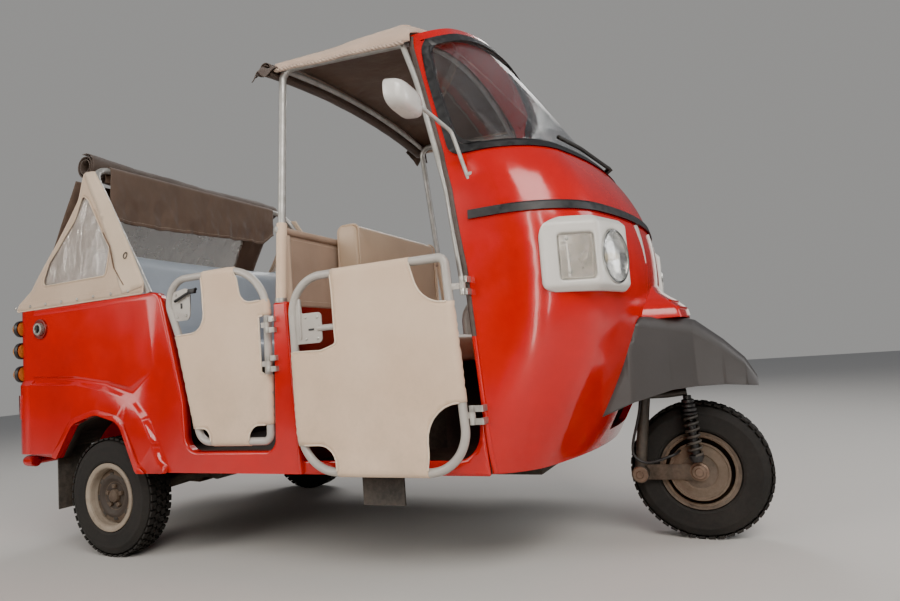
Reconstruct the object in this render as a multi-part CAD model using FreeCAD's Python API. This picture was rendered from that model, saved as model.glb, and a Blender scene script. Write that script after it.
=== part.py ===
import FreeCAD, Part
import math
import os

os.makedirs("parts", exist_ok=True)

# Auto rickshaw. +X is forward, +Y its left side, +Z up; the origin lies on the ground
# under the middle of its length. Millimetres. A station is a distance behind the front axle.

# Overall sizes
LENGTH = 2650.0
WHEELBASE = 1920.0
BODY_HALF_WIDTH = 620.0
FIT_GAP = 0.3          # between soft pieces and what they lie on
RUN_GAP = 6.0          # between pieces that move past each other

# Wheels: 4.00-8 tyres on pressed steel rims
TYRE_RADIUS = 207.5
TYRE_WIDTH = 105.0
TREAD_HALF = 37.0
SHOULDER_DROP = 13.0
BEAD_RADIUS = 104.0
RIM_FLANGE_RADIUS = 117.0
RIM_HALF_WIDTH = 47.0
RIM_SHEET = 4.0
WHEEL_DISC_OFFSET = 16.0
HUB_RADIUS = 46.0
STUD_CIRCLE = 34.0
AXLE_RADIUS = 12.0
AXLE_GAP = 0.4
DRUM_RADIUS = 80.0
REAR_WHEEL_Y = 550.0

FRONT_AXLE_X = LENGTH / 2 - TYRE_RADIUS
REAR_AXLE_X = FRONT_AXLE_X - WHEELBASE
AXLE_Z = TYRE_RADIUS

# Steering
STEER_RAKE = 25.0
STEER_AXIS_STATION = 102.5     # where the axis passes STEER_AXIS_Z
STEER_AXIS_Z = 450.0
HEAD_TUBE_RADIUS = 34.0
COLUMN_RADIUS = 19.0
FORK_SIDE = 86.0
LINK_PIVOT_STATION = 170.0
LINK_PIVOT_Z = 205.0
LEG_RADIUS = 17.0
SHOCK_RADIUS = 23.0
SHOCK_COILS = 7
SHOCK_COIL_PITCH = 23.0
SHOCK_TOP_STATION = 12.0
SHOCK_TOP_Z = 452.0
HANDLEBAR_Z = 960.0
HANDLEBAR_HALF = 260.0

# Cab
CAB_WALL = 24.0
CAB_FLOOR_Z = 300.0
CAB_TOP_Z = 1700.0
CROWN_RADIUS = 1150.0
SCREEN_LOW_Z = 1165.0
SCREEN_EDGE = 24.0             # width of the red pillar beside the screen
SCREEN_DROP = 22.0             # from the crown of the roof to the screen
GASKET_WIDTH = 24.0
GLASS_INSET = 6.0
GLASS_THICK = 5.0
BELT_Z = 972.0
BELT_WIDTH = 24.0

# Rear body
SIDE_WALL = 30.0
SILL_LOW_Z = 300.0
DOOR_SILL_Z = 366.0
PILLAR_TOP_Z = 815.0
BODY_TOP_Z = 905.0
SEAM_STATION = 2282.0
TAIL_STATION = 2416.5
TAIL_CORNER = 90.0
ARCH_RADIUS = 292.0
OUTBOARD = BODY_HALF_WIDTH + 80.0  # clear of everything on a side

# Doors: bent tube frames with canvas laced over them
DOOR_TUBE_RADIUS = 12.0
CANVAS = 3.0
HINGE_PIN_RADIUS = 4.0
HINGE_KNUCKLE_RADIUS = 8.0
HINGE_LEAF = 4.0
PIN_GAP = 0.4
KNUCKLE_HEIGHT = 16.0

# Hood and canopy
POST_RADIUS = 12.0
CANOPY_HALF_WIDTH = BODY_HALF_WIDTH - 90.0
CLOTH = 5.0
BOW_RADIUS = 12.0
BOW_TOP_STATION = 2017.0
BOW_TOP_Z = 1430.0
BOW_FOOT_STATION = 1682.0
HOOD_ROLL_RADIUS = 46.0
HOOD_SIDE = (
    # station, height, corner radius
    (1712, BODY_TOP_Z + FIT_GAP, 8),
    (1706, BODY_TOP_Z + 42, 12),
    (1760, 1046, 60),
    (1916, 1352, 10),
    (2012, 1370, 10),
    (2046, 1299, 60),
    (2256, 1034, 80),
    (2290, 980, 60),
    (2372, 930, 40),
    (2376, BODY_TOP_Z + FIT_GAP, 0),
)
HOOD_WINDOW = (
    (1880, BODY_TOP_Z + 84, 14),
    (1868, 1092, 24),
    (1903, 1139, 60),
    (1997, 1291, 30),
    (2033, 1320, 12),
    (2076, 1228, 80),
    (2205, 1080, 60),
    (2238, BODY_TOP_Z + 84, 20),
)


def vec(x, y, z):
    return FreeCAD.Vector(x, y, z)


def at(station):
    return FRONT_AXLE_X - station


def save(name, *solids):
    shape = solids[0]
    if len(solids) > 1:
        shape = Part.makeCompound(solids)
    shape.exportStep("parts/" + name + ".step")
    print(name, len(shape.Solids), shape.isValid(), round(shape.Volume / 1000))


def mirrored(shape):
    return shape.mirror(vec(0, 0, 0), vec(0, 1, 0))


def block(x0, x1, y0, y1, z0, z1):
    return Part.makeBox(x1 - x0, y1 - y0, z1 - z0, vec(x0, y0, z0))


def rod(start, end, radius):
    run = end - start
    return Part.makeCylinder(radius, run.Length, start, run)


def rounded_path(corners, closed=False):
    # Straight runs joined by tangent arcs; each corner is a point and its radius.
    count = len(corners)
    pieces = []
    for index, (point, radius) in enumerate(corners):
        if radius == 0 or (not closed and index in (0, count - 1)):
            pieces.append((point, None, point))
            continue
        before = (corners[index - 1][0] - point).normalize()
        after = (corners[(index + 1) % count][0] - point).normalize()
        half = before.getAngle(after) / 2
        reach = radius / math.tan(half)
        middle = point + (before + after).normalize() * (radius / math.sin(half) - radius)
        pieces.append((point + before * reach, middle, point + after * reach))
    edges = []
    for index, (start, middle, end) in enumerate(pieces):
        if middle is not None:
            edges.append(Part.Arc(start, middle, end).toShape())
        following = pieces[(index + 1) % count][0]
        if (closed or index < count - 1) and end.distanceToPoint(following) > 0.01:
            edges.append(Part.LineSegment(end, following).toShape())
    return Part.Wire(edges)


def tube(corners, radius, closed=False):
    path = rounded_path(corners, closed)
    first = path.OrderedEdges[0]
    start = first.valueAt(first.FirstParameter)
    along = first.tangentAt(first.FirstParameter)
    section = Part.Wire([Part.makeCircle(radius, start, along)])
    return path.makePipeShell([section], True, False)


def side_prism(corners, y0, y1):
    # Corners are x, z and radius, in the side view.
    wire = rounded_path([(vec(x, y0, z), radius) for x, z, radius in corners], True)
    return Part.Face(wire).extrude(vec(0, y1 - y0, 0))


def plan_prism(corners, z0, z1):
    # Corners are x, y and radius, seen from above.
    wire = rounded_path([(vec(x, y, z0), radius) for x, y, radius in corners], True)
    return Part.Face(wire).extrude(vec(0, 0, z1 - z0))


def front_prism(corners, x0, x1):
    # Corners are y, z and radius, seen from the front.
    wire = rounded_path([(vec(x0, y, z), radius) for y, z, radius in corners], True)
    return Part.Face(wire).extrude(vec(x1 - x0, 0, 0))


def disc(centre_x, centre_z, radius, y0, y1):
    return Part.makeCylinder(radius, y1 - y0, vec(centre_x, y0, centre_z), vec(0, 1, 0))


# Wheels

def wheel_ring(profile, centre):
    # Profile corners are radius, offset along the axle and corner radius.
    wire = rounded_path([(vec(r, y, 0), fillet) for r, y, fillet in profile], True)
    ring = Part.Face(wire).revolve(vec(0, 0, 0), vec(0, 1, 0), 360)
    ring.translate(centre)
    return ring


def tyre(centre):
    half = TYRE_WIDTH / 2
    crown = TYRE_RADIUS
    return wheel_ring((
        (BEAD_RADIUS, -RIM_HALF_WIDTH + 6, 0),
        (RIM_FLANGE_RADIUS + 1, -RIM_HALF_WIDTH + 3, 0),
        (BEAD_RADIUS + 20, -half + 3, 0),
        (BEAD_RADIUS + 45, -half, 0),
        (crown - 36, -half + 3, 0),
        (crown - SHOULDER_DROP, -TREAD_HALF - 6, 0),
        (crown, -TREAD_HALF, 0),
        (crown, TREAD_HALF, 0),
        (crown - SHOULDER_DROP, TREAD_HALF + 6, 0),
        (crown - 36, half - 3, 0),
        (BEAD_RADIUS + 45, half, 0),
        (BEAD_RADIUS + 20, half - 3, 0),
        (RIM_FLANGE_RADIUS + 1, RIM_HALF_WIDTH - 3, 0),
        (BEAD_RADIUS, RIM_HALF_WIDTH - 6, 0),
    ), centre)


def rim(centre, outward):
    # A dished disc on the outward side of a flanged barrel, bored for the axle.
    inner = BEAD_RADIUS - FIT_GAP
    edge = RIM_HALF_WIDTH
    barrel = wheel_ring((
        (inner, -edge + RIM_SHEET, 0),
        (RIM_FLANGE_RADIUS, -edge + RIM_SHEET - 2, 0),
        (RIM_FLANGE_RADIUS, -edge - 3, 0),
        (inner - RIM_SHEET, -edge, 0),
        (inner - RIM_SHEET, edge, 0),
        (RIM_FLANGE_RADIUS, edge + 3, 0),
        (RIM_FLANGE_RADIUS, edge - RIM_SHEET + 2, 0),
        (inner, edge - RIM_SHEET, 0),
    ), vec(0, 0, 0))
    dish = WHEEL_DISC_OFFSET * outward
    face = wheel_ring((
        (AXLE_RADIUS + AXLE_GAP, dish - 5, 0),
        (HUB_RADIUS, dish - 5, 0),
        (HUB_RADIUS + 20, dish - 5 + 12 * outward, 0),
        (inner - RIM_SHEET / 2, dish - 5 - 8 * outward, 0),
        (inner - RIM_SHEET / 2, dish + 1 - 8 * outward, 0),
        (HUB_RADIUS + 20, dish + 1 + 12 * outward, 0),
        (HUB_RADIUS, dish + 5, 0),
        (AXLE_RADIUS + AXLE_GAP, dish + 5, 0),
    ), vec(0, 0, 0))
    wheel = barrel.fuse(face)
    wheel.translate(centre)
    return wheel


def front_wheel():
    centre = vec(FRONT_AXLE_X, 0, AXLE_Z)
    drum = wheel_ring((
        (AXLE_RADIUS + AXLE_GAP, -22, 0),
        (DRUM_RADIUS - 8, -22, 0),
        (DRUM_RADIUS - 8, -36, 0),
        (DRUM_RADIUS, -36, 0),
        (DRUM_RADIUS, 8, 0),
        (AXLE_RADIUS + AXLE_GAP, 14, 0),
    ), centre)
    save("front_tyre", tyre(centre))
    save("front_rim", rim(centre, 1).fuse(drum))


def rear_wheel(side, name):
    centre = vec(REAR_AXLE_X, side * REAR_WHEEL_Y, AXLE_Z)
    drum = wheel_ring((
        (AXLE_RADIUS + AXLE_GAP, side * 8, 0),
        (DRUM_RADIUS - 8, side * 8, 0),
        (DRUM_RADIUS - 8, side * -36, 0),
        (DRUM_RADIUS, side * -36, 0),
        (DRUM_RADIUS, side * 14, 0),
        (AXLE_RADIUS + AXLE_GAP, side * 16, 0),
    ), centre)
    save("rear_tyre_" + name, tyre(centre))
    save("rear_rim_" + name, rim(centre, side).fuse(drum))


# Steering

RAKE = math.radians(STEER_RAKE)
STEER_UP = vec(-math.sin(RAKE), 0, math.cos(RAKE))


def on_steer_axis(height):
    rise = height - STEER_AXIS_Z
    return vec(at(STEER_AXIS_STATION) - rise * math.tan(RAKE), 0, height)


HEAD_LOW_Z = 545.0
HEAD_HIGH_Z = 720.0
CROWN_Z = 505.0


HOSE_RADIUS = 4.5
BRAKE_HOSE = (
    # station, distance from the middle, height, corner radius: from the fork's clip to the brake plate
    (146, FORK_SIDE + LEG_RADIUS + 5, 440, 0),
    (165, FORK_SIDE + LEG_RADIUS + 5, 360, 90),
    (188, FORK_SIDE + LEG_RADIUS + 10, 280, 50),
    (150, FORK_SIDE + LEG_RADIUS + 12, 240, 40),
    (60, FORK_SIDE + LEG_RADIUS + 2, 266, 24),
    (52, FORK_SIDE - 26 + 1.4, 270, 0),
)


def steering():
    crown_point = on_steer_axis(CROWN_Z)
    column = rod(crown_point, on_steer_axis(HANDLEBAR_Z), COLUMN_RADIUS)
    leg = tube((
        (crown_point, 0),
        (vec(crown_point.x, -FORK_SIDE, CROWN_Z - 8), 40),
        (vec(at(LINK_PIVOT_STATION), -FORK_SIDE, LINK_PIVOT_Z + 10), 0),
    ), LEG_RADIUS)
    boss = disc(at(LINK_PIVOT_STATION), LINK_PIVOT_Z, 26, -FORK_SIDE - 18, -FORK_SIDE + 18)
    shock_top = vec(at(SHOCK_TOP_STATION), -FORK_SIDE, SHOCK_TOP_Z)
    arm = tube((
        (vec(crown_point.x - 4, -FORK_SIDE, CROWN_Z - 60), 0),
        (vec(crown_point.x + 60, -FORK_SIDE, SHOCK_TOP_Z - 6), 30),
        (shock_top, 0),
    ), 11)
    save("fork", column.fuse([leg, boss, arm]))

    bar_centre = on_steer_axis(HANDLEBAR_Z) + STEER_UP * 16
    bar = tube((
        (bar_centre + vec(-60, -HANDLEBAR_HALF, 20), 0),
        (bar_centre + vec(0, -HANDLEBAR_HALF + 130, 20), 50),
        (bar_centre, 60),
        (bar_centre + vec(0, HANDLEBAR_HALF - 130, 20), 50),
        (bar_centre + vec(-60, HANDLEBAR_HALF, 20), 0),
    ), 13)
    clamp = Part.makeCylinder(27, 30, on_steer_axis(HANDLEBAR_Z) + STEER_UP * 0.2, STEER_UP)
    save("handlebar", bar.fuse(clamp))

    axle_x = FRONT_AXLE_X
    pivot_x = at(LINK_PIVOT_STATION)
    link = side_prism((
        (pivot_x - 4, LINK_PIVOT_Z - 22, 20),
        (axle_x + 24, AXLE_Z - 24, 22),
        (axle_x + 24, AXLE_Z + 24, 22),
        (pivot_x - 4, LINK_PIVOT_Z + 22, 20),
    ), -FORK_SIDE + 18 + FIT_GAP, -FORK_SIDE + 26)
    plate = disc(axle_x, AXLE_Z, DRUM_RADIUS + 8, -FORK_SIDE + 26, -FORK_SIDE + 32)
    plate_hub = disc(axle_x, AXLE_Z, 30, -FORK_SIDE + 30, -FORK_SIDE + 40)
    axle = disc(axle_x, AXLE_Z, AXLE_RADIUS, -FORK_SIDE + 10, 34)
    save("leading_link", link.fuse([plate, plate_hub, axle]))

    shock_low = vec(axle_x - 2, -FORK_SIDE, AXLE_Z + 34)
    top_eye = shock_top - vec(0, 0, 12)
    hose = tube([(vec(at(s), -y, z), r) for s, y, z, r in BRAKE_HOSE], HOSE_RADIUS)
    save("brake_hose", hose)

    along = (top_eye - shock_low).normalize()
    length = (top_eye - shock_low).Length
    profile = [(0, 0), (SHOCK_RADIUS - 8, 0)]
    for turn in range(SHOCK_COILS):
        foot = 26 + SHOCK_COIL_PITCH * turn
        profile += [(SHOCK_RADIUS - 8, foot), (SHOCK_RADIUS, foot + 4)]
        profile += [(SHOCK_RADIUS, foot + 9), (SHOCK_RADIUS - 8, foot + 13)]
    profile += [(SHOCK_RADIUS - 8, length), (0, length)]
    across = along.cross(vec(0, 1, 0)).normalize()
    points = [shock_low + across * r + along * t for r, t in profile]
    wire = Part.makePolygon(points + points[:1])
    save("front_shock", Part.Face(wire).revolve(shock_low, along, 360))


# Cab shell: plan sections with a broad front arc and rounded corners

CAB_LOWER = (
    # height, nose station, half width, corner radius, front radius
    (300, 262, BODY_HALF_WIDTH - 20, 190, 1500),
    (400, 206, BODY_HALF_WIDTH - 14, 200, 1500),
    (620, 112, BODY_HALF_WIDTH - 10, 220, 1500),
    (1000, 100, BODY_HALF_WIDTH - 14, 230, 1500),
    (1180, 200, BODY_HALF_WIDTH - 54, 200, 1500),
)
CAB_UPPER = (
    (1180, 200, BODY_HALF_WIDTH - 54, 200, 1500),
    (1720, 560, BODY_HALF_WIDTH - 150, 150, 1100),
)
CAB_BACK_STATION = 900.0
CAB_REAR_EDGE = (
    # station, height of the door edge from the sill to the roof
    (456, 300),
    (487, 835),
    (520, 1064),
    (622, 1431),
    (655, 1550),
    (668, 1720),
)


def cab_section(height, nose, half, corner, front, inset):
    half -= inset
    corner -= inset
    front -= inset
    nose_x = at(nose) - inset
    arc_x = nose_x - front
    corner_y = half - corner
    corner_x = arc_x + math.sqrt((front - corner) ** 2 - corner_y ** 2)
    slope = math.atan2(corner_y, corner_x - arc_x)
    meet = vec(arc_x + front * math.cos(slope), front * math.sin(slope), height)
    turn = math.pi / 4 + slope / 2
    middle = vec(corner_x + corner * math.cos(turn), corner_y + corner * math.sin(turn), height)
    back = at(CAB_BACK_STATION)

    def flipped(point):
        return vec(point.x, -point.y, point.z)

    side = vec(corner_x, half, height)
    rear = vec(back, half, height)
    tip = vec(nose_x, 0, height)
    return Part.Wire([
        Part.LineSegment(rear, side).toShape(),
        Part.Arc(side, middle, meet).toShape(),
        Part.Arc(meet, tip, flipped(meet)).toShape(),
        Part.Arc(flipped(meet), flipped(middle), flipped(side)).toShape(),
        Part.LineSegment(flipped(side), flipped(rear)).toShape(),
        Part.LineSegment(flipped(rear), rear).toShape(),
    ])


def crown_zone(drop):
    # Everything under the crowned roof, lowered by the drop.
    radius = CROWN_RADIUS - drop
    centre_z = CAB_TOP_Z - CROWN_RADIUS
    half = BODY_HALF_WIDTH + 80
    side_z = centre_z + math.sqrt(radius ** 2 - half ** 2)
    arch = Part.Arc(vec(0, half, side_z), vec(0, 0, centre_z + radius), vec(0, -half, side_z))
    wire = Part.Wire([
        arch.toShape(),
        Part.LineSegment(vec(0, -half, side_z), vec(0, -half, 0)).toShape(),
        Part.LineSegment(vec(0, -half, 0), vec(0, half, 0)).toShape(),
        Part.LineSegment(vec(0, half, 0), vec(0, half, side_z)).toShape(),
    ])
    return Part.Face(wire).extrude(vec(FRONT_AXLE_X + 400, 0, 0))


def cab_form(inset):
    # The closed outer form of the cab, moved inwards by the inset.
    lower = [cab_section(*row, inset) for row in CAB_LOWER]
    upper = [cab_section(*row, inset) for row in CAB_UPPER]
    form = Part.makeLoft(lower, True, False).fuse(Part.makeLoft(upper, True, True))
    return form.common(crown_zone(inset))


def cab_front_zone(back_shift=0.0):
    # Everything ahead of the door edge.
    corners = [(at(station) + back_shift, height, 0) for station, height in CAB_REAR_EDGE]
    corners[0] = (corners[0][0], 200, 0)
    corners += [(FRONT_AXLE_X + 300, CAB_REAR_EDGE[-1][1], 0), (FRONT_AXLE_X + 300, 200, 0)]
    return side_prism(corners, -900, 900)


def screen_zone(shrink):
    # Side view of the windscreen opening, swept across the cab.
    edge = SCREEN_EDGE + shrink
    low = SCREEN_LOW_Z + shrink
    zone = side_prism((
        (at(547) + edge, low, 46),
        (FRONT_AXLE_X + 200, low, 0),
        (FRONT_AXLE_X + 200, 1800, 0),
        (at(700) + edge, 1800, 0),
        (at(622) + edge, 1431, 0),
    ), -900, 900)
    return zone.common(crown_zone(SCREEN_DROP + shrink))


CAB_OUTER = cab_form(0)

WIPER_RADIUS = 6.0
WIPER_BOSS_RADIUS = 10.0
WIPER_ARM = (
    # station, distance from the middle, height: in front of the screen's lower edge
    (185, 20, 1194),
    (224, 273, 1206),
    (255, 404, 1210),
)


def wiper_boss(radius):
    foot = vec(at(223), -WIPER_ARM[0][1], 1169)
    return rod(foot, vec(at(WIPER_ARM[0][0] - 4), -WIPER_ARM[0][1], WIPER_ARM[0][2] + 3), radius)


def cab():
    zone = cab_front_zone()
    inner = cab_form(CAB_WALL)
    shell = CAB_OUTER.cut(inner).common(zone)
    opening = screen_zone(0)
    shell = shell.cut(opening)
    wheel_gap = block(at(330), FRONT_AXLE_X + 100, -150, 150, 350, 640)
    shell = shell.cut(wheel_gap)
    save("cab_shell", shell)

    gasket = cab_form(-5).cut(cab_form(CAB_WALL - 6))
    gasket = gasket.common(opening.cut(screen_zone(GASKET_WIDTH)))
    save("windscreen_gasket", gasket.cut(wiper_boss(WIPER_BOSS_RADIUS + FIT_GAP)))
    glass = cab_form(GLASS_INSET).cut(cab_form(GLASS_INSET + GLASS_THICK))
    save("windscreen", glass.common(screen_zone(GASKET_WIDTH)))

    belt = cab_form(-7).cut(CAB_OUTER).common(block(at(466), 2000, -900, 900, BELT_Z, BELT_Z + BELT_WIDTH))
    save("belt_strip", belt.common(zone))


# Nose, fender, lamps

NOSE_SECTIONS = (
    # height, station of its face, half width, corner radius
    (676, -16, 184, 60),
    (805, 25, 132, 48),
    (940, 64, 72, 30),
)
FENDER_SECTIONS = (
    # station, half width, half width of the top, low edge, top, shoulder radius
    (235, 285, 285, 402, 690, 20),
    (140, 260, 258, 440, 688, 24),
    (40, 186, 168, 466, 684, 50),
    (-24, 142, 120, 470, 670, 50),
    (-102, 112, 90, 470, 603, 40),
    (-160, 90, 70, 464, 541, 28),
    (-188, 70, 56, 460, 484, 8),
)
FENDER_SHEET = 5.0


def nose():
    wires = []
    for height, station, half, corner in NOSE_SECTIONS:
        face = at(station)
        wires.append(rounded_path([
            (vec(at(260), -half - 20, height), 0),
            (vec(face, -half, height), corner),
            (vec(face, half, height), corner),
            (vec(at(260), half + 20, height), 0),
        ], True))
    ridge = Part.makeLoft(wires, True, True)
    save("nose_panel", ridge.cut([CAB_OUTER, fender_form(-FIT_GAP)]))


def fender_form(inset):
    wires = []
    for station, half, top_half, low, top, shoulder in FENDER_SECTIONS:
        x = at(station) - inset * 1.01
        side = half - inset
        top_side = top_half - inset
        roof = top - inset
        foot = low - inset * 8
        wires.append(rounded_path([
            (vec(x, -side, foot), 0),
            (vec(x, -top_side, roof), shoulder),
            (vec(x, top_side, roof), shoulder),
            (vec(x, side, foot), 0),
        ], True))
    return Part.makeLoft(wires, True, True)


def fender():
    cover = fender_form(0).cut(fender_form(FENDER_SHEET))
    save("front_fender", cover.cut(CAB_OUTER))


POD_PLAN = (
    # station, distance from the middle, corner radius
    (276, BODY_HALF_WIDTH - 6, 14),
    (142, BODY_HALF_WIDTH - 82, 24),
    (92, BODY_HALF_WIDTH - 244, 24),
    (170, BODY_HALF_WIDTH - 275, 0),
    (400, BODY_HALF_WIDTH - 120, 0),
    (312, BODY_HALF_WIDTH - 64, 0),
)
POD_HEIGHTS = (
    # height, inset of the outline
    (752, 16),
    (768, 0),
    (930, 0),
    (950, 18),
)
POD_TAPER = 0.6
POD_SIDE = (
    # station, height, corner radius
    (284, 751, 34),
    (284, 951, 48),
    (40, 951, 0),
    (40, 751, 0),
)
HEADLAMP_RADIUS = 72.0
HEADLAMP_Z = 842.0
INDICATOR_HALF_LENGTH = 48.0
INDICATOR_HALF_HEIGHT = 60.0


def lamps():
    wires = []
    for height, inset in POD_HEIGHTS:
        corners = []
        for station, y, radius in POD_PLAN:
            inward = inset if radius else 0
            corners.append((vec(at(station + inward), -y + inward * POD_TAPER, height), radius))
        wires.append(rounded_path(corners, True))
    rounded = side_prism([(at(s), z, r) for s, z, r in POD_SIDE], -OUTBOARD, 0)
    pod = Part.makeLoft(wires, True, True).common(rounded).cut(CAB_OUTER)
    face_start = vec(at(POD_PLAN[1][0]), -POD_PLAN[1][1], HEADLAMP_Z)
    face_end = vec(at(POD_PLAN[2][0]), -POD_PLAN[2][1], HEADLAMP_Z)
    along = (face_end - face_start).normalize()
    outward = vec(along.y, -along.x, 0)
    centre = (face_start + face_end) * 0.5
    recess = Part.makeCylinder(HEADLAMP_RADIUS, 30, centre - outward * 22, outward)
    side_start = vec(at(POD_PLAN[0][0]), -POD_PLAN[0][1], HEADLAMP_Z)
    rearward = (side_start - face_start).normalize()
    outboard = vec(-rearward.y, rearward.x, 0)
    marker = face_start + rearward * (INDICATOR_HALF_LENGTH + 12)

    def marker_box(half_length, half_height, depth):
        # A box let into the side face, standing on its outboard direction.
        corners = []
        for u, w in ((-1, -1), (1, -1), (1, 1), (-1, 1)):
            corners.append((marker + rearward * (u * half_length) + vec(0, 0, w * half_height), 10))
        face = Part.Face(rounded_path(corners, True))
        return face.extrude(outboard * -depth)

    pod = pod.cut(recess).cut(marker_box(INDICATOR_HALF_LENGTH, INDICATOR_HALF_HEIGHT, 16))
    lens = Part.makeSphere(HEADLAMP_RADIUS * 1.6, centre - outward * (HEADLAMP_RADIUS * 1.6 - 6))
    lens = lens.common(Part.makeCylinder(HEADLAMP_RADIUS - 1, 40, centre - outward * 21, outward))
    lens = lens.cut(CAB_OUTER)
    indicator = marker_box(INDICATOR_HALF_LENGTH - FIT_GAP, INDICATOR_HALF_HEIGHT - FIT_GAP, 16 - FIT_GAP)
    indicator = indicator.cut(CAB_OUTER)
    save("lamp_pods", pod, mirrored(pod))
    save("lamp_lenses", lens, mirrored(lens), indicator, mirrored(indicator))


def wiper():
    corners = [(vec(at(station), -y, z), 300) for station, y, z in WIPER_ARM]
    save("wiper", wiper_boss(WIPER_BOSS_RADIUS).fuse(tube(corners, WIPER_RADIUS)))


def dashboard():
    hood = side_prism((
        (at(285), 1100, 20),
        (at(100), 1100, 0),
        (at(100), 1160, 0),
        (at(285), 1160, 20),
    ), -470, 470)
    save("dashboard", hood.common(cab_form(CAB_WALL + FIT_GAP)))


# Chassis, floors and engine

RAIL_Y = 250.0
RAIL_LOW_Z = 236.0
TOW_EYE_RADIUS = 11.0
TOW_EYE_THICK = 14.0
TOW_EYE_Z = RAIL_LOW_Z - 14


def chassis():
    solids = []
    rail = block(at(2385), at(430), -RAIL_Y - 25, -RAIL_Y + 25, RAIL_LOW_Z, CAB_FLOOR_Z - FIT_GAP)
    solids += [rail, mirrored(rail)]
    for station in (455, 1060, 1640, 2360):
        x = at(station)
        solids.append(block(x - 25, x + 25, -RAIL_Y, RAIL_Y, RAIL_LOW_Z, CAB_FLOOR_Z - 8))
    head = rod(on_steer_axis(HEAD_LOW_Z), on_steer_axis(HEAD_HIGH_Z), HEAD_TUBE_RADIUS)
    brace = tube((
        (on_steer_axis(HEAD_LOW_Z + 60) - vec(20, 0, 0), 0),
        (vec(at(440), 0, 420), 120),
        (vec(at(452), 0, CAB_FLOOR_Z - 20), 0),
    ), 32)
    bore = rod(on_steer_axis(HEAD_LOW_Z - 40), on_steer_axis(HEAD_HIGH_Z + 40), COLUMN_RADIUS + 0.5)
    eye = side_prism((
        (at(2330), RAIL_LOW_Z + 20, 0),
        (at(2330), RAIL_LOW_Z - 40, 24),
        (at(2390), RAIL_LOW_Z - 40, 24),
        (at(2390), RAIL_LOW_Z + 20, 0),
    ), -TOW_EYE_THICK / 2, TOW_EYE_THICK / 2)
    eye_hole = disc(at(2360), TOW_EYE_Z, TOW_EYE_RADIUS, -50, 50)
    save("chassis", solids[0].fuse(solids[1:] + [eye]).cut(eye_hole))
    save("steering_head", head.fuse(brace).cut([bore, solids[2]]))


FLOOR_SHEET = 12.0
BULKHEAD_STATION = 1112.0
BENCH_STATION = 1660.0
BENCH_REAR_STATION = 2110.0
BENCH_DECK_Z = 625.0
WELL_INNER_Y = 452.0
SEAT_BOX_TOP = 590.0


def floors():
    half = BODY_HALF_WIDTH - SIDE_WALL - FIT_GAP
    cab_floor = block(at(BULKHEAD_STATION), at(300), -half, half, CAB_FLOOR_Z, CAB_FLOOR_Z + FLOOR_SHEET)
    inner = cab_form(CAB_WALL + FIT_GAP)
    ahead = cab_floor.common(inner)
    behind = block(at(BULKHEAD_STATION), at(500), -half, half, CAB_FLOOR_Z, CAB_FLOOR_Z + FLOOR_SHEET)
    seat_box = block(at(1095), at(760), -230, 230, CAB_FLOOR_Z, SEAT_BOX_TOP)
    column_hole = rod(vec(at(446), 0, 200), vec(at(452), 0, 400), 50)
    housing = block(at(336), at(60), -156, 156, CAB_FLOOR_Z, 646)
    housing = housing.cut(block(at(330), at(50), -150, 150, CAB_FLOOR_Z - 10, 640)).common(inner)
    head_hole = rod(on_steer_axis(500), on_steer_axis(760), HEAD_TUBE_RADIUS + 2)
    brace_hole = block(at(360), at(230), -45, 45, 430, 660)
    housing = housing.cut([head_hole, brace_hole])
    save("cab_floor", ahead.fuse([behind, seat_box, housing]).cut(column_hole))
    rear_x = at(BULKHEAD_STATION + 30) - FIT_GAP
    top = DOOR_SILL_Z
    rear_floor = block(at(BENCH_STATION), rear_x, -half, half, top - FLOOR_SHEET, top)
    riser = block(at(BENCH_STATION) - FLOOR_SHEET, at(BENCH_STATION), -half, half, top - FLOOR_SHEET, BENCH_DECK_Z)
    deck = block(at(BENCH_REAR_STATION), at(BENCH_STATION), -half, half, BENCH_DECK_Z - FLOOR_SHEET, BENCH_DECK_Z)
    save("rear_floor", rear_floor.fuse([riser, deck]))
    wall = block(at(BULKHEAD_STATION + 30), at(BULKHEAD_STATION), -half, half, CAB_FLOOR_Z, PILLAR_TOP_Z - 10)
    save("bulkhead", wall)


def engine():
    body = side_prism((
        (at(2330), 190, 40),
        (at(1900), 170, 40),
        (at(1900), 430, 30),
        (at(2330), 450, 40),
    ), -170, 170)
    save("engine", body)


def rear_arms():
    pivot = vec(at(1640), -320, 262)
    hub_y = -REAR_WHEEL_Y + 60
    arm = tube((
        (pivot, 0),
        (vec(at(1760), -340, 250), 80),
        (vec(at(WHEELBASE), hub_y + 26, AXLE_Z), 0),
    ), 26)
    sleeve = disc(at(1640), 262, 34, -370, -RAIL_Y - 25 - FIT_GAP)
    plate = disc(REAR_AXLE_X, AXLE_Z, DRUM_RADIUS + 8, hub_y, hub_y + 14)
    axle = disc(REAR_AXLE_X, AXLE_Z, AXLE_RADIUS, -REAR_WHEEL_Y - 34, hub_y + 10)
    damper = rod(vec(at(1880), -415, 222), vec(at(1850), -400, 600), 22)
    arm = arm.fuse([sleeve, plate, axle, damper])
    save("rear_arms", arm, mirrored(arm))


# Rear body

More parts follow.
